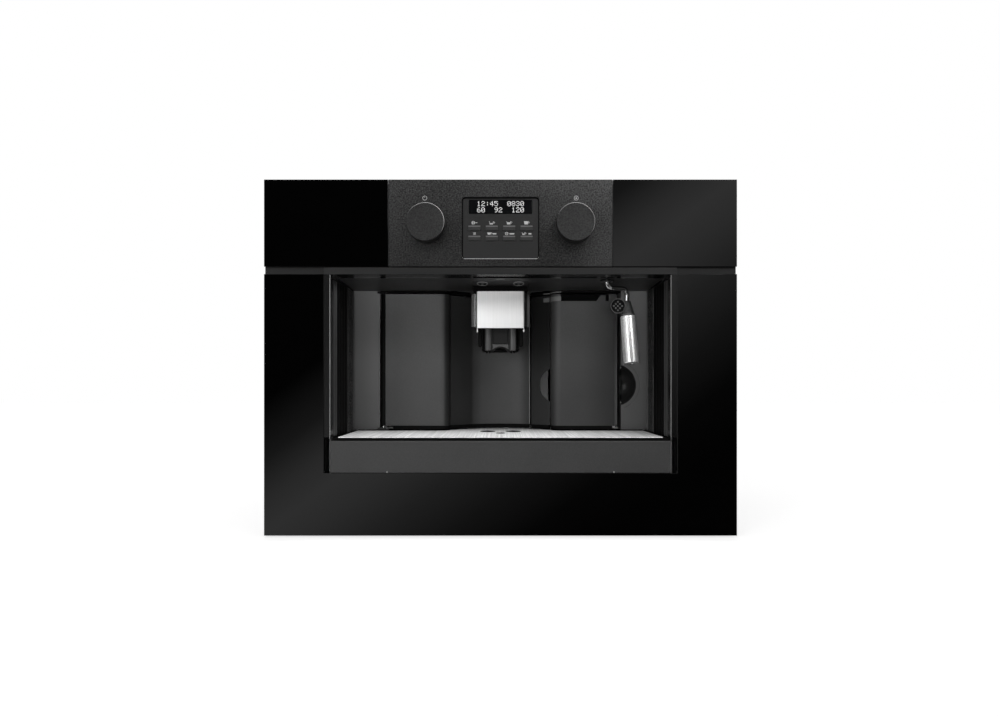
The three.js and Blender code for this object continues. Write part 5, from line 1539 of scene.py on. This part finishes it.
reach = 6.0
floor = stage_plane("floor", [(reach * (2 * x - 1), reach * (2 * y - 1), 0) for x, y in around])
floor.location.z = cad_box[0][2] - 0.0005
floor_paint = Finish("floor_paint", grey(0.75), 0.0, 0.9)
floor_paint.set("Base Color", floor_paint.blend(floor_paint.noise(400), grey(0.74), grey(0.78)))
floor_paint.set("Emission Color", (1, 1, 1, 1))
floor_paint.set("Emission Strength", 0.6)
floor.data.materials.append(floor_paint.material)
floor.visible_glossy = False
floor.visible_diffuse = False

card_y = glass_y - 2.0
card_half, card_low, card_high = 2.2, -1.6, 2.4
card_corners = [(card_half * (2 * x - 1), card_y, card_low + (card_high - card_low) * z) for x, z in around]
card = stage_plane("reflected_band", card_corners)
card_light = bpy.data.materials.new("reflected_band")
band = Tree(card_light)
band.nodes.clear()
band_slope, eye_height = radians(37), 0.1905
band_profile = ((-0.57, 0.0), (-0.365, 0.17), (-0.215, 0.5), (-0.105, 0.65), (0.005, 0.55), (0.19, 0.3),
                (0.388, 0.125), (0.599, 0.02), (0.80, 0.0))
band_from, band_to = band_profile[0][0], band_profile[-1][0]
offset = eye_height * cos(band_slope)
place = band.add("ShaderNodeTexCoord").outputs["Object"]
across_band = band.vectors("DOT_PRODUCT", place, (sin(band_slope), 0, -cos(band_slope)))
fade = band.add("ShaderNodeValToRGB", {"Fac": band.spread(across_band, band_from - offset, band_to - offset)})
while len(fade.color_ramp.elements) < len(band_profile):
    fade.color_ramp.elements.new(0.5)
for element, (step, value) in zip(fade.color_ramp.elements, band_profile):
    element.position = (step - band_from) / (band_to - band_from)
    element.color = (*grey(value), 1)
glow = band.add("ShaderNodeEmission", {"Color": fade.outputs["Color"]}).outputs["Emission"]
sheer = band.add("ShaderNodeBsdfTransparent").outputs["BSDF"]
either = band.add("ShaderNodeAddShader", {0: glow, 1: sheer}).outputs["Shader"]
band.add("ShaderNodeOutputMaterial", {"Surface": either})
card.data.materials.append(card_light)
card.visible_camera = False
card.visible_diffuse = False
card.visible_transmission = False
card.visible_shadow = False
print("studio lit")

# %% [markdown]
# ## The camera
#
# The picture's lines that run inwards all meet at one point, a little right of the middle of the
# front and below the fascia. So the camera looks exactly along the depth of the machine, level with
# that point and 0.8 m from the glass, and a small shift of the lens sets the machine where the
# photograph has it.

# %% Place the camera
eye = bpy.data.cameras.new("camera")
eye.lens, eye.sensor_width, eye.sensor_fit = 22.9, 36.0, "HORIZONTAL"
eye.shift_x, eye.shift_y = -0.0005, 0.027
camera = bpy.data.objects.new("camera", eye)
bpy.context.scene.collection.objects.link(camera)
camera.location = (0, glass_y - 0.8, eye_height)
camera.rotation_euler = (radians(90), 0, 0)
bpy.context.scene.camera = camera
bpy.context.scene.view_settings.view_transform = "Standard"
print(len(made), "pieces made")

# %% Update the scene
bpy.context.view_layer.update()
